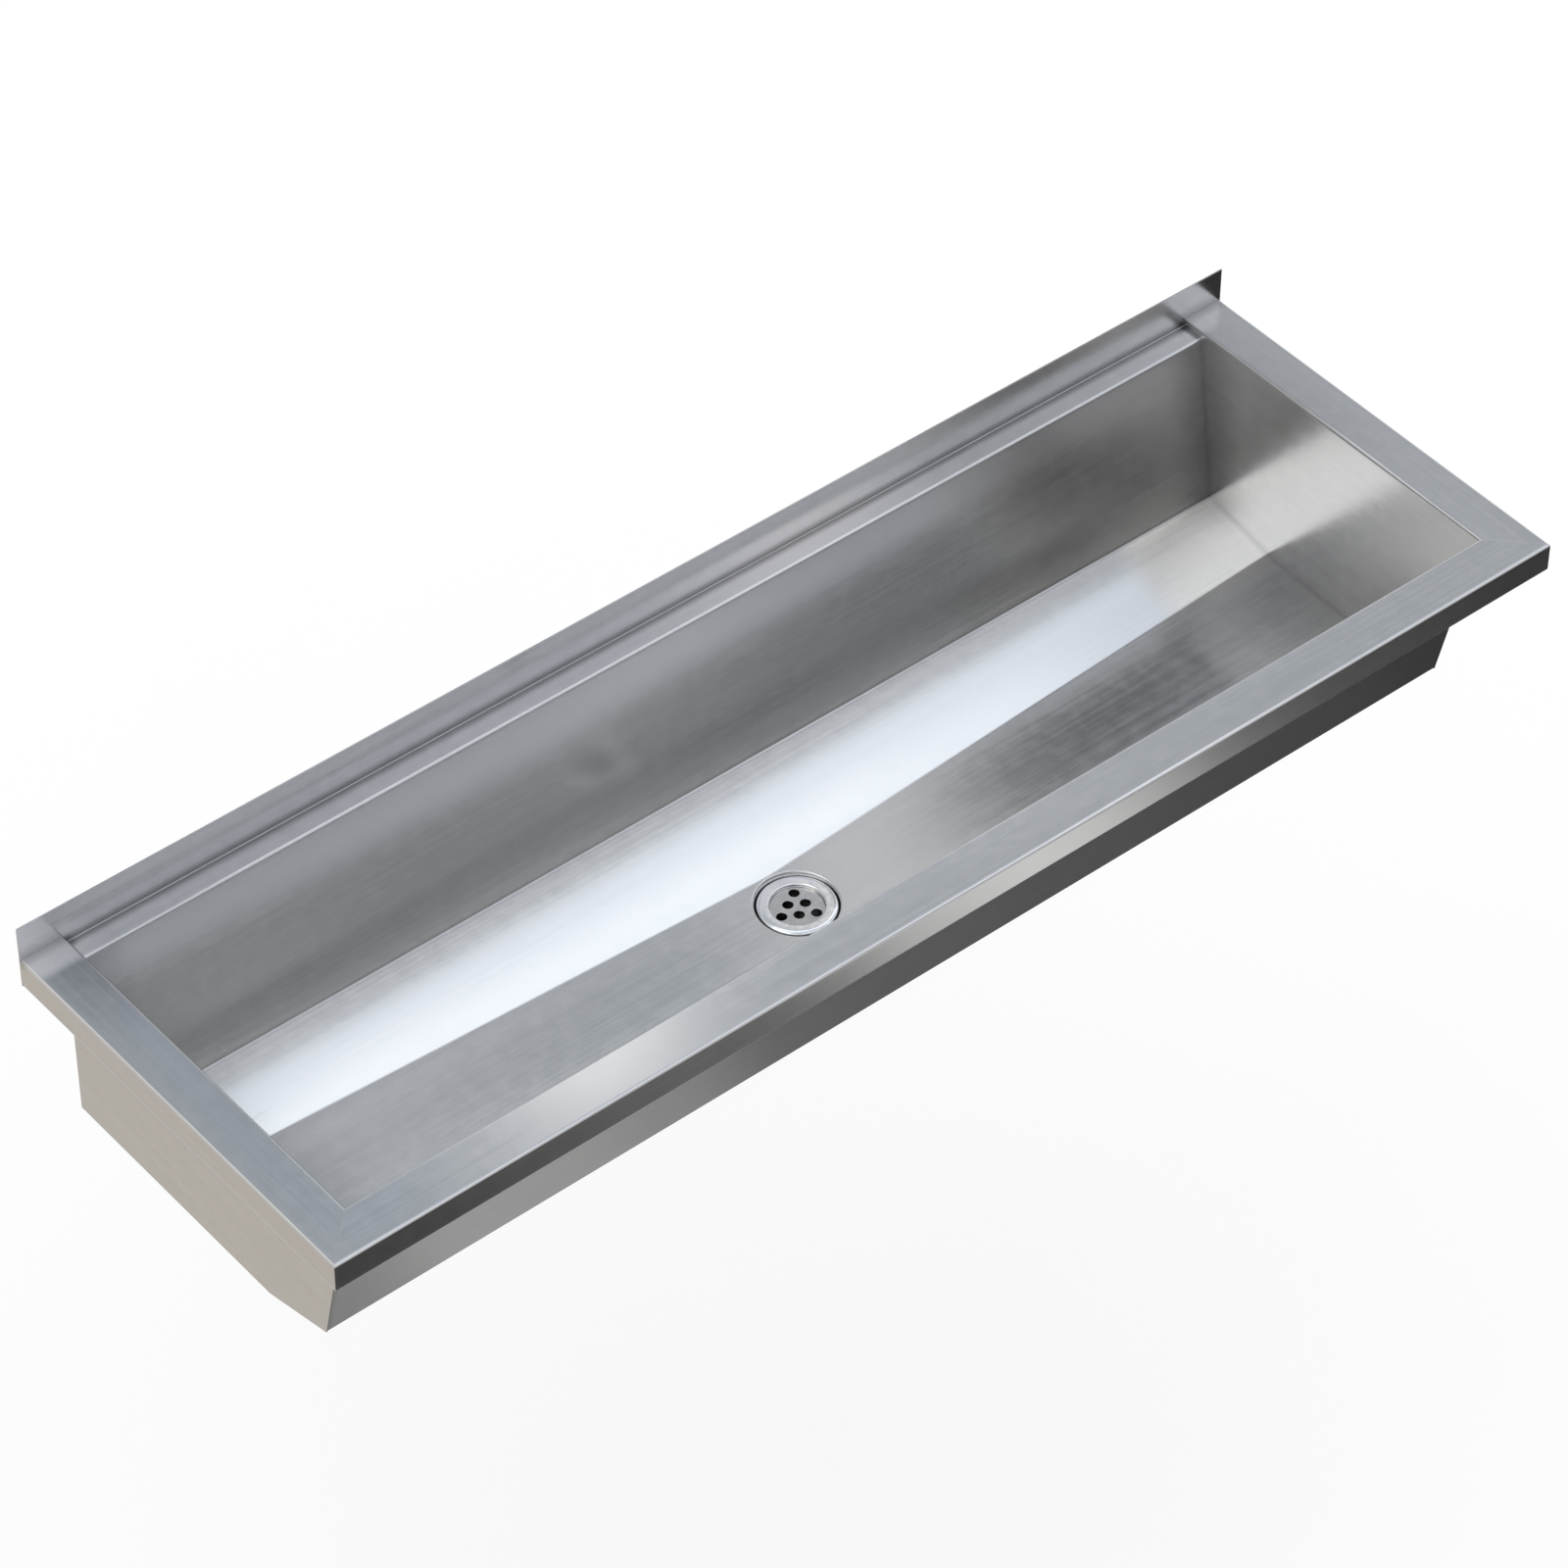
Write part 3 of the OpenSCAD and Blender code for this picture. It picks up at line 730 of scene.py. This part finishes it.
def makeEndPlate(name, side, node):
    t, fold = sheet["thickness"], sheet["foldRadius"]
    foldOut = t + fold
    low, high, legZ = -endPlate["depth"], endPlate["flangeTop"], -sheet["legLength"]
    inX, outX = basinX, basinX + t
    flangeX = inX - endPlate["flangeWidth"]

    # the panel's outline follows the basin's outer skin
    keel = meet(rearFoot, rearFoot + Vector((-1, -basin["rearSlope"])),
                frontFoot, frontFoot + Vector((1, -basin["frontSlope"])))
    wall = [p + toLeft(frontFoot, frontTop, t) for p in (frontFoot, frontTop)]
    panel = [p + toLeft(keel, frontFoot, t) for p in (keel, frontFoot)]
    skinCorner = meet(*panel, *wall)
    kink = meet(*panel, Vector((0, low)), Vector((1, low)))
    brow = meet(*wall, Vector((0, legZ)), Vector((1, legZ)))
    outline = [brow, skinCorner, kink, Vector((-foldOut, low)), Vector((-foldOut, high)),
               Vector((-t, high)), Vector((-t, legZ))]
    front = [Vector((side * outX, p.x, p.y)) for p in outline]
    back = [Vector((side * inX, p.x, p.y)) for p in outline]
    faces = [list(range(len(outline)))]

    # the fold into the flange
    plan = [Vector((outX, -foldOut - 1)), Vector((outX, 0)), Vector((flangeX, 0))]
    outer, inner = (foldedFace(plan, t, fold, g)[1:-1] for g in (0, t))
    rows = [[3, 4]]
    for a, b in list(zip(outer, inner))[1:]:
        rows.append([len(front), len(front) + 1])
        for z in (low, high):
            front.append(Vector((side * a.x, a.y, z)))
            back.append(Vector((side * b.x, b.y, z)))
    faces += [[one[0], one[1], two[1], two[0]] for one, two in zip(rows, rows[1:])]

    # the flange with its hole
    endX = outer[-1].x
    radius, holeX, holeZ = endPlate["holeRadius"], (inX + flangeX) / 2, -endPlate["holeDepth"]
    hole = [Vector((holeX + radius * math.cos(a), holeZ + radius * math.sin(a))) for a in around(32)]
    points, flat = holedFaces([(flangeX, low), (endX, low), (endX, high), (flangeX, high)], [hole])
    base = len(front)
    front += [Vector((side * p.x, 0, p.y)) for p in points]
    back += [Vector((side * p.x, -t, p.y)) for p in points]
    faces += [[base + i for i in f] for f in flat]
    piece = shellObject(name, front, back, evenlyTurned(front, faces), plateSteel)
    handedOver(softened(piece, endPlate["edge"]), "sheet_steel", node)


makeEndPlate("leftEndPlate", -1, "left_end_plate")
makeEndPlate("rightEndPlate", 1, "right_end_plate")
print("end plates cut and folded")


# Shapes kept from the frame: a merged copy with softened edges

def softCopy(node, name, material, slot, edge):
    piece = cleaned(newObject(name, nodes[node].data.copy(), material), merged=True)
    if piece.data.has_custom_normals:
        piece.data.attributes.remove(piece.data.attributes["custom_normal"])
    handedOver(softened(piece, edge), slot, node)


for side in ("left", "right"):
    softCopy(side + "_hanger_hook", side + "HangerHook", zinc, "zinc_strip", 0.35)
    softCopy(side + "_wall_bracket", side + "WallBracket", zinc, "zinc_strip", 0.35)
    softCopy(side + "_damping_pad", side + "DampingPad", padBitumen, "damping_rubber", 0.5)
softCopy("earth_washer", "earthWasher", fastenerSteel, "fastener_steel", 0.12)
softCopy("earth_tag", "earthTag", brass, "nut_brass", 0.12)
print("hangers, pads and tag softened")


# Turned pieces

def lathe(name, profile, middleY, material, steps=96, closed=True):
    # a profile holds radii and heights, or functions of the angle that give both
    points = []
    for spot in profile:
        for a in around(steps):
            r, z = spot(a) if callable(spot) else spot
            points.append((r * math.cos(a), middleY + r * math.sin(a), z))
    return cleaned(meshObject(name, points, ringFaces(len(profile), steps, closed), material))


def roundedCorner(corner, radius, fromAngle, toAngle, steps=6):
    angles = [math.radians(fromAngle + (toAngle - fromAngle) * i / steps) for i in range(steps + 1)]
    return [(corner[0] + radius * math.cos(a), corner[1] + radius * math.sin(a)) for a in angles]


def ringProfile(inner, outer, low, high, edge):
    corners = ((outer - edge, low + edge), (outer - edge, high - edge),
               (inner + edge, high - edge), (inner + edge, low + edge))
    return [p for i, corner in enumerate(corners) for p in roundedCorner(corner, edge, 90 * i - 90, 90 * i)]


def growthTree(name, sizes):
    tree = bpy.data.node_groups.new(name, "GeometryNodeTree")
    tree.is_modifier = True
    sockets = tree.interface
    kinds = {"Geometry": "Geometry", **dict.fromkeys(sizes, "Float"), "Finish": "Material"}
    for label, kind in kinds.items():
        sockets.new_socket(label, in_out="INPUT", socket_type="NodeSocket" + kind)
    sockets.new_socket("Geometry", in_out="OUTPUT", socket_type="NodeSocketGeometry")
    return tree, put(tree, "NodeGroupInput").outputs


def finishedTree(tree, shape, finish):
    real = put(tree, "GeometryNodeRealizeInstances", sockets={0: shape})
    dressed = put(tree, "GeometryNodeSetMaterial", sockets={"Geometry": real.outputs[0], "Material": finish})
    put(tree, "NodeGroupOutput", sockets={0: dressed.outputs[0]})
    return tree


def threadTree():
    tree, given = growthTree("threadCoil", ("Core Radius", "Length", "Turns", "Crest Height", "Crest Width"))
    spiral = put(tree, "GeometryNodeCurveSpiral", sockets={
        "Resolution": 72, "Rotations": given["Turns"], "Start Radius": given["Core Radius"],
        "End Radius": given["Core Radius"], "Height": given["Length"]})
    upright = put(tree, "GeometryNodeSetCurveNormal", {"mode": "Z_UP"}, {0: spiral.outputs[0]})
    ring = put(tree, "GeometryNodeCurvePrimitiveCircle", {"mode": "RADIUS"}, {"Resolution": 8, "Radius": 1.0})
    crest = {0: given["Crest Height"], 1: given["Crest Width"], 2: 1.0}
    scale = put(tree, "ShaderNodeCombineXYZ", sockets=crest).outputs[0]
    profile = put(tree, "GeometryNodeTransform", sockets={"Geometry": ring.outputs[0], "Scale": scale})
    thread = put(tree, "GeometryNodeCurveToMesh", sockets={
        "Curve": upright.outputs[0], "Profile Curve": profile.outputs[0], "Fill Caps": True})
    smooth = put(tree, "GeometryNodeSetShadeSmooth", sockets={0: thread.outputs[0]})
    return finishedTree(tree, smooth.outputs[0], given["Finish"])


def grown(name, tree, values):
    piece = newObject(name, bpy.data.meshes.new(name), values["Finish"])
    growth = piece.modifiers.new("growth", "NODES")
    growth.node_group = tree
    for item in tree.interface.items_tree:
        if item.item_type == "SOCKET" and item.in_out == "INPUT" and item.name in values:
            growth[item.identifier] = values[item.name]
    return baked(piece)


def joined(piece, *others):
    work = bmesh.new()
    work.from_mesh(piece.data)
    for other in others:
        work.from_mesh(other.data)
        bpy.data.objects.remove(other)
    work.to_mesh(piece.data)
    work.free()
    return piece


def moved(piece, matrix):
    piece.data.transform(matrix)
    return piece


def raised(piece, y, z):
    return moved(piece, Matrix.Translation((0, y * mm, z * mm)))


threads = threadTree()


def threadCoil(name, core, length, pitch, crestHeight, crestWidth, finish):
    return grown(name, threads, {
        "Core Radius": core * mm, "Length": length * mm, "Turns": length / pitch,
        "Crest Height": crestHeight * mm, "Crest Width": crestWidth * mm, "Finish": finish})


waste = {
    "flangeRadius": 32.5,
    "flangeTop": -185.778,
    "flangeUnder": -187.978,
    "edgeRadius": 1.6,
    "crownWidth": 4.2,
    "crownDrop": 1.9,
    "mouthRadius": 22.3,
    "throatRadius": 20.9,
    "shoulderZ": -190.778,
    "tailRadius": 23.9,
    "tailBottom": -239.678,
    "plainTail": 6.2,
    "threadPitch": 2.309,
    "threadDepth": 0.85,
    "threadInset": 1.4,
    "threadShort": 2.4,
    "dishFrom": 27.0,
    "dishTo": 25.5,
    "dishDepth": 0.03,
    "softEdge": 0.12,
    "strainerEdge": 0.38,
    "strainerTop": -189.278,
    "strainerUnder": -190.778,
    "strainerRadius": 22.25,
    "holeRadius": 4.4,
    "holePitch": 14,
}


def makeWasteFitting():
    w = waste
    flange, tail, throat = w["flangeRadius"], w["tailRadius"], w["throatRadius"]
    top, under, low = w["flangeTop"], w["flangeUnder"], w["tailBottom"]
    core, threadTop = tail - w["threadDepth"], under - w["plainTail"]
    profile = [(core - 1.0, low), (core, low + 0.9), (core, threadTop), (tail, threadTop + 0.9),
               (tail, under - 0.3), (tail + 0.3, under), (flange - 0.35, under), (flange, under + 0.35)]
    for degrees in range(0, 88, 8):
        a = math.radians(degrees)
        inwards, down = w["crownWidth"] * (1 - math.cos(a)), w["crownDrop"] * (1 - math.sin(a))
        profile.append((flange - inwards, top - down))
    e = w["edgeRadius"]
    profile += [(w["dishFrom"], top), (w["dishTo"], top - w["dishDepth"])]
    profile += roundedCorner((w["mouthRadius"] + e, top - e), e, 100, 180, 8)
    profile += [(w["mouthRadius"], w["shoulderZ"]), (throat + 0.2, w["shoulderZ"]),
                (throat, w["shoulderZ"] - 0.3), (throat, low + 0.3), (throat + 0.3, low)]
    body = softened(lathe("wasteFitting", profile, wasteY, wasteSteel), w["softEdge"])
    coil = threadCoil("wasteThread", core, threadTop - low - w["threadShort"], w["threadPitch"],
                      w["threadDepth"], w["threadPitch"] * 0.5, wasteSteel)
    raised(coil, wasteY, low + w["threadInset"])
    handedOver(joined(body, coil), "polished_steel", "waste_fitting")


makeWasteFitting()


def perforationTree():
    tree, given = growthTree("strainerHoles", ("Plate Radius", "Thickness", "Hole Radius", "Hole Pitch"))
    plate = put(tree, "GeometryNodeMeshCylinder", {"fill_type": "NGON"}, {
        "Vertices": 96, "Radius": given["Plate Radius"], "Depth": given["Thickness"]})
    inner = maths(tree, "MULTIPLY", given["Hole Pitch"], 1 / math.sqrt(3))
    outer = maths(tree, "MULTIPLY", inner, 2.0)
    innerRing = put(tree, "GeometryNodeMeshCircle", sockets={"Vertices": 3, "Radius": inner})
    outerRing = put(tree, "GeometryNodeMeshCircle", sockets={"Vertices": 3, "Radius": outer})
    turnedRing = put(tree, "GeometryNodeTransform", sockets={
        "Geometry": outerRing.outputs[0], "Rotation": (0, 0, math.radians(60))})
    both = put(tree, "GeometryNodeJoinGeometry")
    for ring in (innerRing, turnedRing):
        tree.links.new(ring.outputs[0], both.inputs[0])
    drill = put(tree, "GeometryNodeMeshCylinder", {"fill_type": "NGON"}, {
        "Vertices": 40, "Radius": given["Hole Radius"], "Depth": 0.006})
    drills = put(tree, "GeometryNodeInstanceOnPoints", sockets={
        "Points": both.outputs[0], "Instance": drill.outputs["Mesh"]})
    realDrills = put(tree, "GeometryNodeRealizeInstances", sockets={0: drills.outputs[0]})
    cut = put(tree, "GeometryNodeMeshBoolean", {"operation": "DIFFERENCE", "solver": "EXACT"}, {
        "Mesh 1": plate.outputs["Mesh"], "Mesh 2": realDrills.outputs[0]})
    return finishedTree(tree, cut.outputs[0], given["Finish"])


def makeStrainer():
    w = waste
    thickness = w["strainerTop"] - w["strainerUnder"]
    plate = grown("strainer", perforationTree(), {
        "Plate Radius": w["strainerRadius"] * mm, "Thickness": thickness * mm,
        "Hole Radius": w["holeRadius"] * mm, "Hole Pitch": w["holePitch"] * mm, "Finish": strainerSteel})
    raised(plate, wasteY, w["strainerUnder"] + thickness / 2)
    handedOver(softened(cleaned(plate), w["strainerEdge"], 3), "polished_steel", "strainer")


makeStrainer()

# Each ring's sizes: inner and outer radius, lowest and highest z, and the edges' radius
seals = {
    "upperSeal": ("upper_seal", sealRubber, "seal_rubber", (24.6, 29.5, -189.478, -187.978, 0.4)),
    "lowerSeal": ("lower_seal", sealRubber, "seal_rubber", (24.1, 30.0, -193.678, -190.678, 0.7)),
    "slipWasher": ("slip_washer", washerPlastic, "washer_plastic", (24.1, 30.0, -195.178, -193.678, 0.3)),
}
for name, (node, material, slot, sizes) in seals.items():
    handedOver(softened(lathe(name, ringProfile(*sizes), wasteY, material), 0.05, 1, 60), slot, node)


def makeNut(name, sizes, material):
    apothem, height, bore, chamfer = sizes["flats"] / 2, sizes["height"], sizes["bore"], sizes["chamfer"]
    crown = apothem * 0.985

    def hexRadius(a):
        return apothem / math.cos((a % (math.pi / 3)) - math.pi / 6)

    def slant(a):
        return max(0.0, hexRadius(a) - crown) * math.tan(math.radians(30))
    profile = [(bore, chamfer), (bore + chamfer, 0), (crown, 0), lambda a: (hexRadius(a), slant(a))]
    if "hexHeight" in sizes:  # a round collar above the hexagon
        top = sizes["hexHeight"]
        profile += [lambda a: (hexRadius(a), top), (apothem, top), (apothem, height - chamfer),
                    (apothem - chamfer, height)]
    else:
        profile += [lambda a: (hexRadius(a), height - slant(a)), (crown, height)]
    profile += [(bore + chamfer, height), (bore, height - chamfer)]
    return lathe(name, profile, 0, material)


backNutSizes = {
    "flats": 62,
    "height": 9,
    "hexHeight": 7,
    "bore": 23.95,
    "chamfer": 0.6,
    "edge": 0.5,
    "under": -204.178,
}
backNut = raised(makeNut("backNut", backNutSizes, brass), wasteY, backNutSizes["under"])
handedOver(softened(backNut, backNutSizes["edge"], 3, 30), "nut_brass", "back_nut")
print("waste, strainer and seals made")


earth = {
    "x": 480,
    "depth": 110,
    "baseRadius": 4.5,
    "studRadius": 3,
    "studLength": 16,
    "threadPitch": 1.0,
    "threadDepth": 0.45,
    "threadWidth": 0.5,
    "threadInset": 1.5,
    "threadShort": 2.6,
    "nutSeat": 2.8,
}
earthNutSizes = {
    "flats": 10,
    "height": 5,
    "bore": 3.05,
    "chamfer": 0.3,
    "edge": 0.12,
}


def earthMatrix(rise):
    down = (rearFoot - rearCorner).normalized()
    spot = rearCorner + down * earth["depth"] + toLeft(rearCorner, rearFoot, sheet["thickness"])
    return (Matrix.Translation((earth["x"] * mm, spot.x * mm, spot.y * mm))
            @ Matrix.Rotation(math.atan2(down.y, down.x), 4, "X") @ Matrix.Translation((0, 0, rise * mm)))


def makeEarthStud():
    core, tip, base = earth["studRadius"] - earth["threadDepth"], earth["studLength"], earth["baseRadius"]
    profile = [(0, 0), (base - 0.2, 0), (base, 0.2), (base, 0.8), (base - 0.2, 1.0), (core, 1.0),
               (core, tip - 0.7), (core - 0.7, tip), (0, tip)]
    stud = softened(lathe("earthStud", profile, 0, fastenerSteel, 48, closed=False), 0.05, 1, 50)
    coil = threadCoil("studThread", core, tip - earth["threadShort"], earth["threadPitch"],
                      earth["threadDepth"], earth["threadWidth"], fastenerSteel)
    raised(coil, 0, earth["threadInset"])
    handedOver(moved(joined(stud, coil), earthMatrix(0)), "fastener_steel", "earth_stud")


makeEarthStud()
earthNut = softened(makeNut("earthNut", earthNutSizes, fastenerSteel), earthNutSizes["edge"], 2, 30)
handedOver(moved(earthNut, earthMatrix(earth["nutSeat"])), "fastener_steel", "earth_nut")
print("earth point made")


# Room: pale floor, soft world, and cards that only the steel's reflections see

studio = {
    "floorZ": -0.85,
    "floorReach": 16,
    "floorColour": (0.97, 0.97, 0.97, 1),
    "floorPatches": (0.95545, 0.95545, 0.95545, 1),
    "floorWhite": 0.5,
    "evenLight": (0.96, 0.96, 0.96, 1),
    "horizonRight": (1.15, 1.16, 1.18),
    "horizonLeft": (0.66, 0.66, 0.65),
    "horizonFront": (0.55, 0.56, 0.60),
    "backRight": (0.520, 0.555, 0.600),
    "backLeft": (1.25, 1.24, 1.22),
    "overheadRight": (1.11, 1.20, 1.34),
    "overheadLeft": (1.95, 1.95, 1.93),
    "gapRight": (0.55, 0.57, 0.60),
    "front": (1.36, 1.41, 1.54),
    "backEdge": (0.40, 0.56),
    "gapEdge": (-0.02, 0.13),
    "frontEdge": (-0.42, -0.28),
    "leftEdge": (-0.50, -0.10),
    "horizonFrontEdge": (-0.60, -0.30),
    "horizonEdge": (0.32, 0.67),
}


def studioWorld():
    world = bpy.data.worlds.new("studioWorld")
    bpy.context.scene.world = world
    world.use_nodes = True
    tree = world.node_tree
    tree.nodes.clear()
    axes = axesOf(tree, put(tree, "ShaderNodeTexCoord").outputs["Generated"])
    lean = maths(tree, "DIVIDE", axes["Y"], maths(tree, "MAXIMUM", axes["Z"], 0.08))

    def past(value, edge):
        return ranged(tree, value, *studio[edge], 1, 0)
    leftShare = past(axes["X"], "leftEdge")

    def across(right, left):
        return mixed(tree, leftShare, (*studio[right], 1), (*studio[left], 1))
    sky = mixed(tree, past(lean, "backEdge"), across("backRight", "backLeft"),
                across("overheadRight", "overheadLeft"))
    sky = mixed(tree, past(lean, "gapEdge"), sky, across("gapRight", "overheadLeft"))
    sky = mixed(tree, past(lean, "frontEdge"), sky, (*studio["front"], 1))
    low = mixed(tree, past(axes["Y"], "horizonFrontEdge"), across("horizonRight", "horizonLeft"),
                (*studio["horizonFront"], 1))
    sky = mixed(tree, past(axes["Z"], "horizonEdge"), sky, low)
    rays = put(tree, "ShaderNodeLightPath").outputs
    sky = mixed(tree, rays["Is Diffuse Ray"], sky, studio["evenLight"])  # dull surfaces get an even light
    sky = mixed(tree, rays["Is Camera Ray"], sky, (1, 1, 1, 1))
    glow = put(tree, "ShaderNodeBackground", sockets={"Color": sky, "Strength": 1.0})
    put(tree, "ShaderNodeOutputWorld", sockets={"Surface": glow.outputs[0]})


studioWorld()


def flatPiece(name, low, high, material):
    mesh = bpy.data.meshes.new(name)
    mesh.from_pydata([low, (high[0], low[1], low[2]), high, (low[0], high[1], high[2])], [], [(0, 1, 2, 3)])
    piece = newObject(name, mesh, material)
    return piece


def card(name, axis, low, high, stops):
    # stops are (place along the axis in metres, brightness or colour)
    material = bpy.data.materials.new(name)
    material.use_nodes = True
    tree = material.node_tree
    tree.nodes.clear()
    along = axesOf(tree, put(tree, "ShaderNodeTexCoord").outputs["Object"])[axis]
    first, last = stops[0][0], stops[-1][0]
    share = put(tree, "ShaderNodeMapRange", sockets={"Value": along, "From Min": first, "From Max": last})
    ramp = put(tree, "ShaderNodeValToRGB")
    ramp.color_ramp.interpolation = "EASE"
    tree.links.new(share.outputs[0], ramp.inputs[0])
    marks = ramp.color_ramp.elements
    for i, (spot, level) in enumerate(stops):
        mark = marks[i] if i < 2 else marks.new(1.0)
        mark.position = (spot - first) / (last - first)
        mark.color = (level, level, level, 1) if isinstance(level, float) else (*level, 1)
    glow = put(tree, "ShaderNodeEmission", sockets={"Color": ramp.outputs[0], "Strength": 1.0})
    put(tree, "ShaderNodeOutputMaterial", sockets={"Surface": glow.outputs[0]})
    piece = flatPiece(name, low, high, material)
    for ray in ("camera", "diffuse", "transmission", "volume_scatter", "shadow"):
        setattr(piece, "visible_" + ray, False)


cardZ = studio["floorZ"] + 0.005
cards = {
    "lipCard": ("X", (-0.7, -2.4, cardZ), (2.6, -0.80, cardZ), [
        (-0.7, 0.055), (-0.10, 0.065), (0.03, 0.11), (0.16, 0.17), (0.30, 0.17), (0.38, 0.28), (0.48, 0.76),
        (0.62, 1.03), (0.70, 0.95), (0.78, 0.64), (0.87, 0.22), (1.0, 0.11), (1.3, 0.055), (2.6, 0.05)]),
    "wallCard": ("X", (-0.7, -0.80, cardZ), (2.6, -0.1, cardZ), [
        (-0.7, 0.40), (-0.26, 0.33), (-0.14, 0.49), (-0.02, 0.46), (0.10, 0.36), (0.23, 0.185), (0.36, 0.15),
        (0.60, 0.115), (0.80, 0.09), (0.90, 0.08), (1.0, 0.06), (1.2, 0.03), (2.6, 0.03)]),
    "leftCard": ("X", (-2.6, -1.2, cardZ), (-0.705, 2.0, cardZ), [
        (-2.6, (0.68, 0.635, 0.575)), (-0.7, (0.68, 0.635, 0.575))]),
    "valleyCard": ("X", (-0.20, 0.255, 0.70), (1.07, 0.72, 0.70), [
        (-0.20, (0.50, 0.52, 0.55)), (-0.035, (0.50, 0.53, 0.57)), (0.04, (0.59, 0.61, 0.65)),
        (0.13, (0.49, 0.52, 0.56)), (0.44, (0.46, 0.50, 0.54)), (0.60, (0.92, 0.92, 0.93)),
        (0.66, (0.80, 0.80, 0.80)), (0.77, (0.17, 0.18, 0.18)), (0.90, 0.10), (1.07, 0.07)]),
    "rearCard": ("X", (-0.27, 0.012, 0.40), (0.80, 0.058, 0.40), [
        (-0.27, (2.05, 2.13, 2.25)), (0.36, (2.05, 2.13, 2.25)), (0.60, (1.80, 1.88, 2.00)),
        (0.78, (0.95, 1.03, 1.16)), (0.80, (0.90, 0.98, 1.10))]),
    "leftRimCard": ("Y", (-0.40, -0.10, 0.40), (-0.275, 0.36, 0.40), [
        (-0.10, (0.43, 0.49, 0.56)), (0.04, (0.41, 0.46, 0.53)), (0.22, (0.43, 0.48, 0.55)),
        (0.28, (0.20, 0.23, 0.28)), (0.36, (0.02, 0.03, 0.05))]),
    "ledgeCard": ("X", (-0.37, -0.46, 0.40), (0.92, -0.295, 0.40), [
        (-0.37, (0.34, 0.35, 0.44)), (-0.25, (0.58, 0.60, 0.70)), (0.10, (0.70, 0.72, 0.84)),
        (0.22, (0.76, 0.78, 0.90)), (0.32, (0.98, 1.00, 1.12)), (0.43, (1.54, 1.54, 1.64)),
        (0.50, (1.26, 1.26, 1.34)), (0.60, (0.50, 0.52, 0.58)), (0.92, (0.76, 0.79, 0.90))]),
    "rimCard": ("X", (0.165, 0.33, 1.0), (0.325, 0.50, 1.0), [(0.165, 1.9), (0.325, 1.9)]),
}
for name, parts in cards.items():
    card(name, *parts)


def makeFloor():
    material, tree, place = newMaterial("paleFloor")
    shader = tree.nodes["Principled BSDF"]
    tone = mixed(tree, noise(tree, place, 3.0, 3), studio["floorColour"], studio["floorPatches"])
    tree.links.new(tone, shader.inputs["Base Color"])
    shader.inputs["Roughness"].default_value = 0.9
    shader.inputs["Specular IOR Level"].default_value = 0.1
    rays = put(tree, "ShaderNodeLightPath").outputs
    seen = maths(tree, "MAXIMUM", rays["Is Camera Ray"], rays["Is Glossy Ray"])
    share = maths(tree, "MULTIPLY", seen, studio["floorWhite"])
    white = put(tree, "ShaderNodeEmission").outputs[0]  # halves the floor's shade for the eye and the steel
    pale = put(tree, "ShaderNodeMixShader", sockets={0: share, 1: shader.outputs[0], 2: white}).outputs[0]
    clear = put(tree, "ShaderNodeBsdfTransparent").outputs[0]  # from below, the floor is out of the way
    below = put(tree, "ShaderNodeNewGeometry").outputs["Backfacing"]
    shown = put(tree, "ShaderNodeMixShader", sockets={0: below, 1: pale, 2: clear}).outputs[0]
    tree.links.new(shown, tree.nodes["Material Output"].inputs["Surface"])
    reach, z = studio["floorReach"], studio["floorZ"]
    flatPiece("floor", (-reach, -reach, z), (reach, reach, z), material)


makeFloor()

fillLight = {
    "place": (0.3, -1.0, 5.0),
    "size": 9.0,
    "power": 60,
}
lamp = bpy.data.lights.new("fillLamp", "AREA")
lamp.shape = "SQUARE"
lamp.size = fillLight["size"]
lamp.energy = fillLight["power"]
fillLamp = placed("fillLamp", lamp)
fillLamp.location = fillLight["place"]  # it shines straight down
fillLamp.visible_glossy = False


# Camera

view = {
    "place": (-2.25391, -2.86727, 3.37654),
    "right": (0.7711464, -0.63664038, 0.00471848),
    "up": (0.4425465, 0.5413441, 0.7149119),
    "back": (-0.45769616, -0.54921365, 0.69919854),
    "lens": 145.66,
    "sensor": 36,
    "farthest": 60,
}
lens = bpy.data.cameras.new("photoCamera")
lens.lens = view["lens"]
lens.sensor_width = view["sensor"]
lens.clip_end = view["farthest"]
photoCamera = placed("photoCamera", lens)
axesAndPlace = [view[k] for k in ("right", "up", "back", "place")]
photoCamera.matrix_world = Matrix([*zip(*axesAndPlace), (0, 0, 0, 1)])
bpy.context.scene.camera = photoCamera
bpy.context.scene.view_settings.view_transform = "Standard"
print("room and camera set")
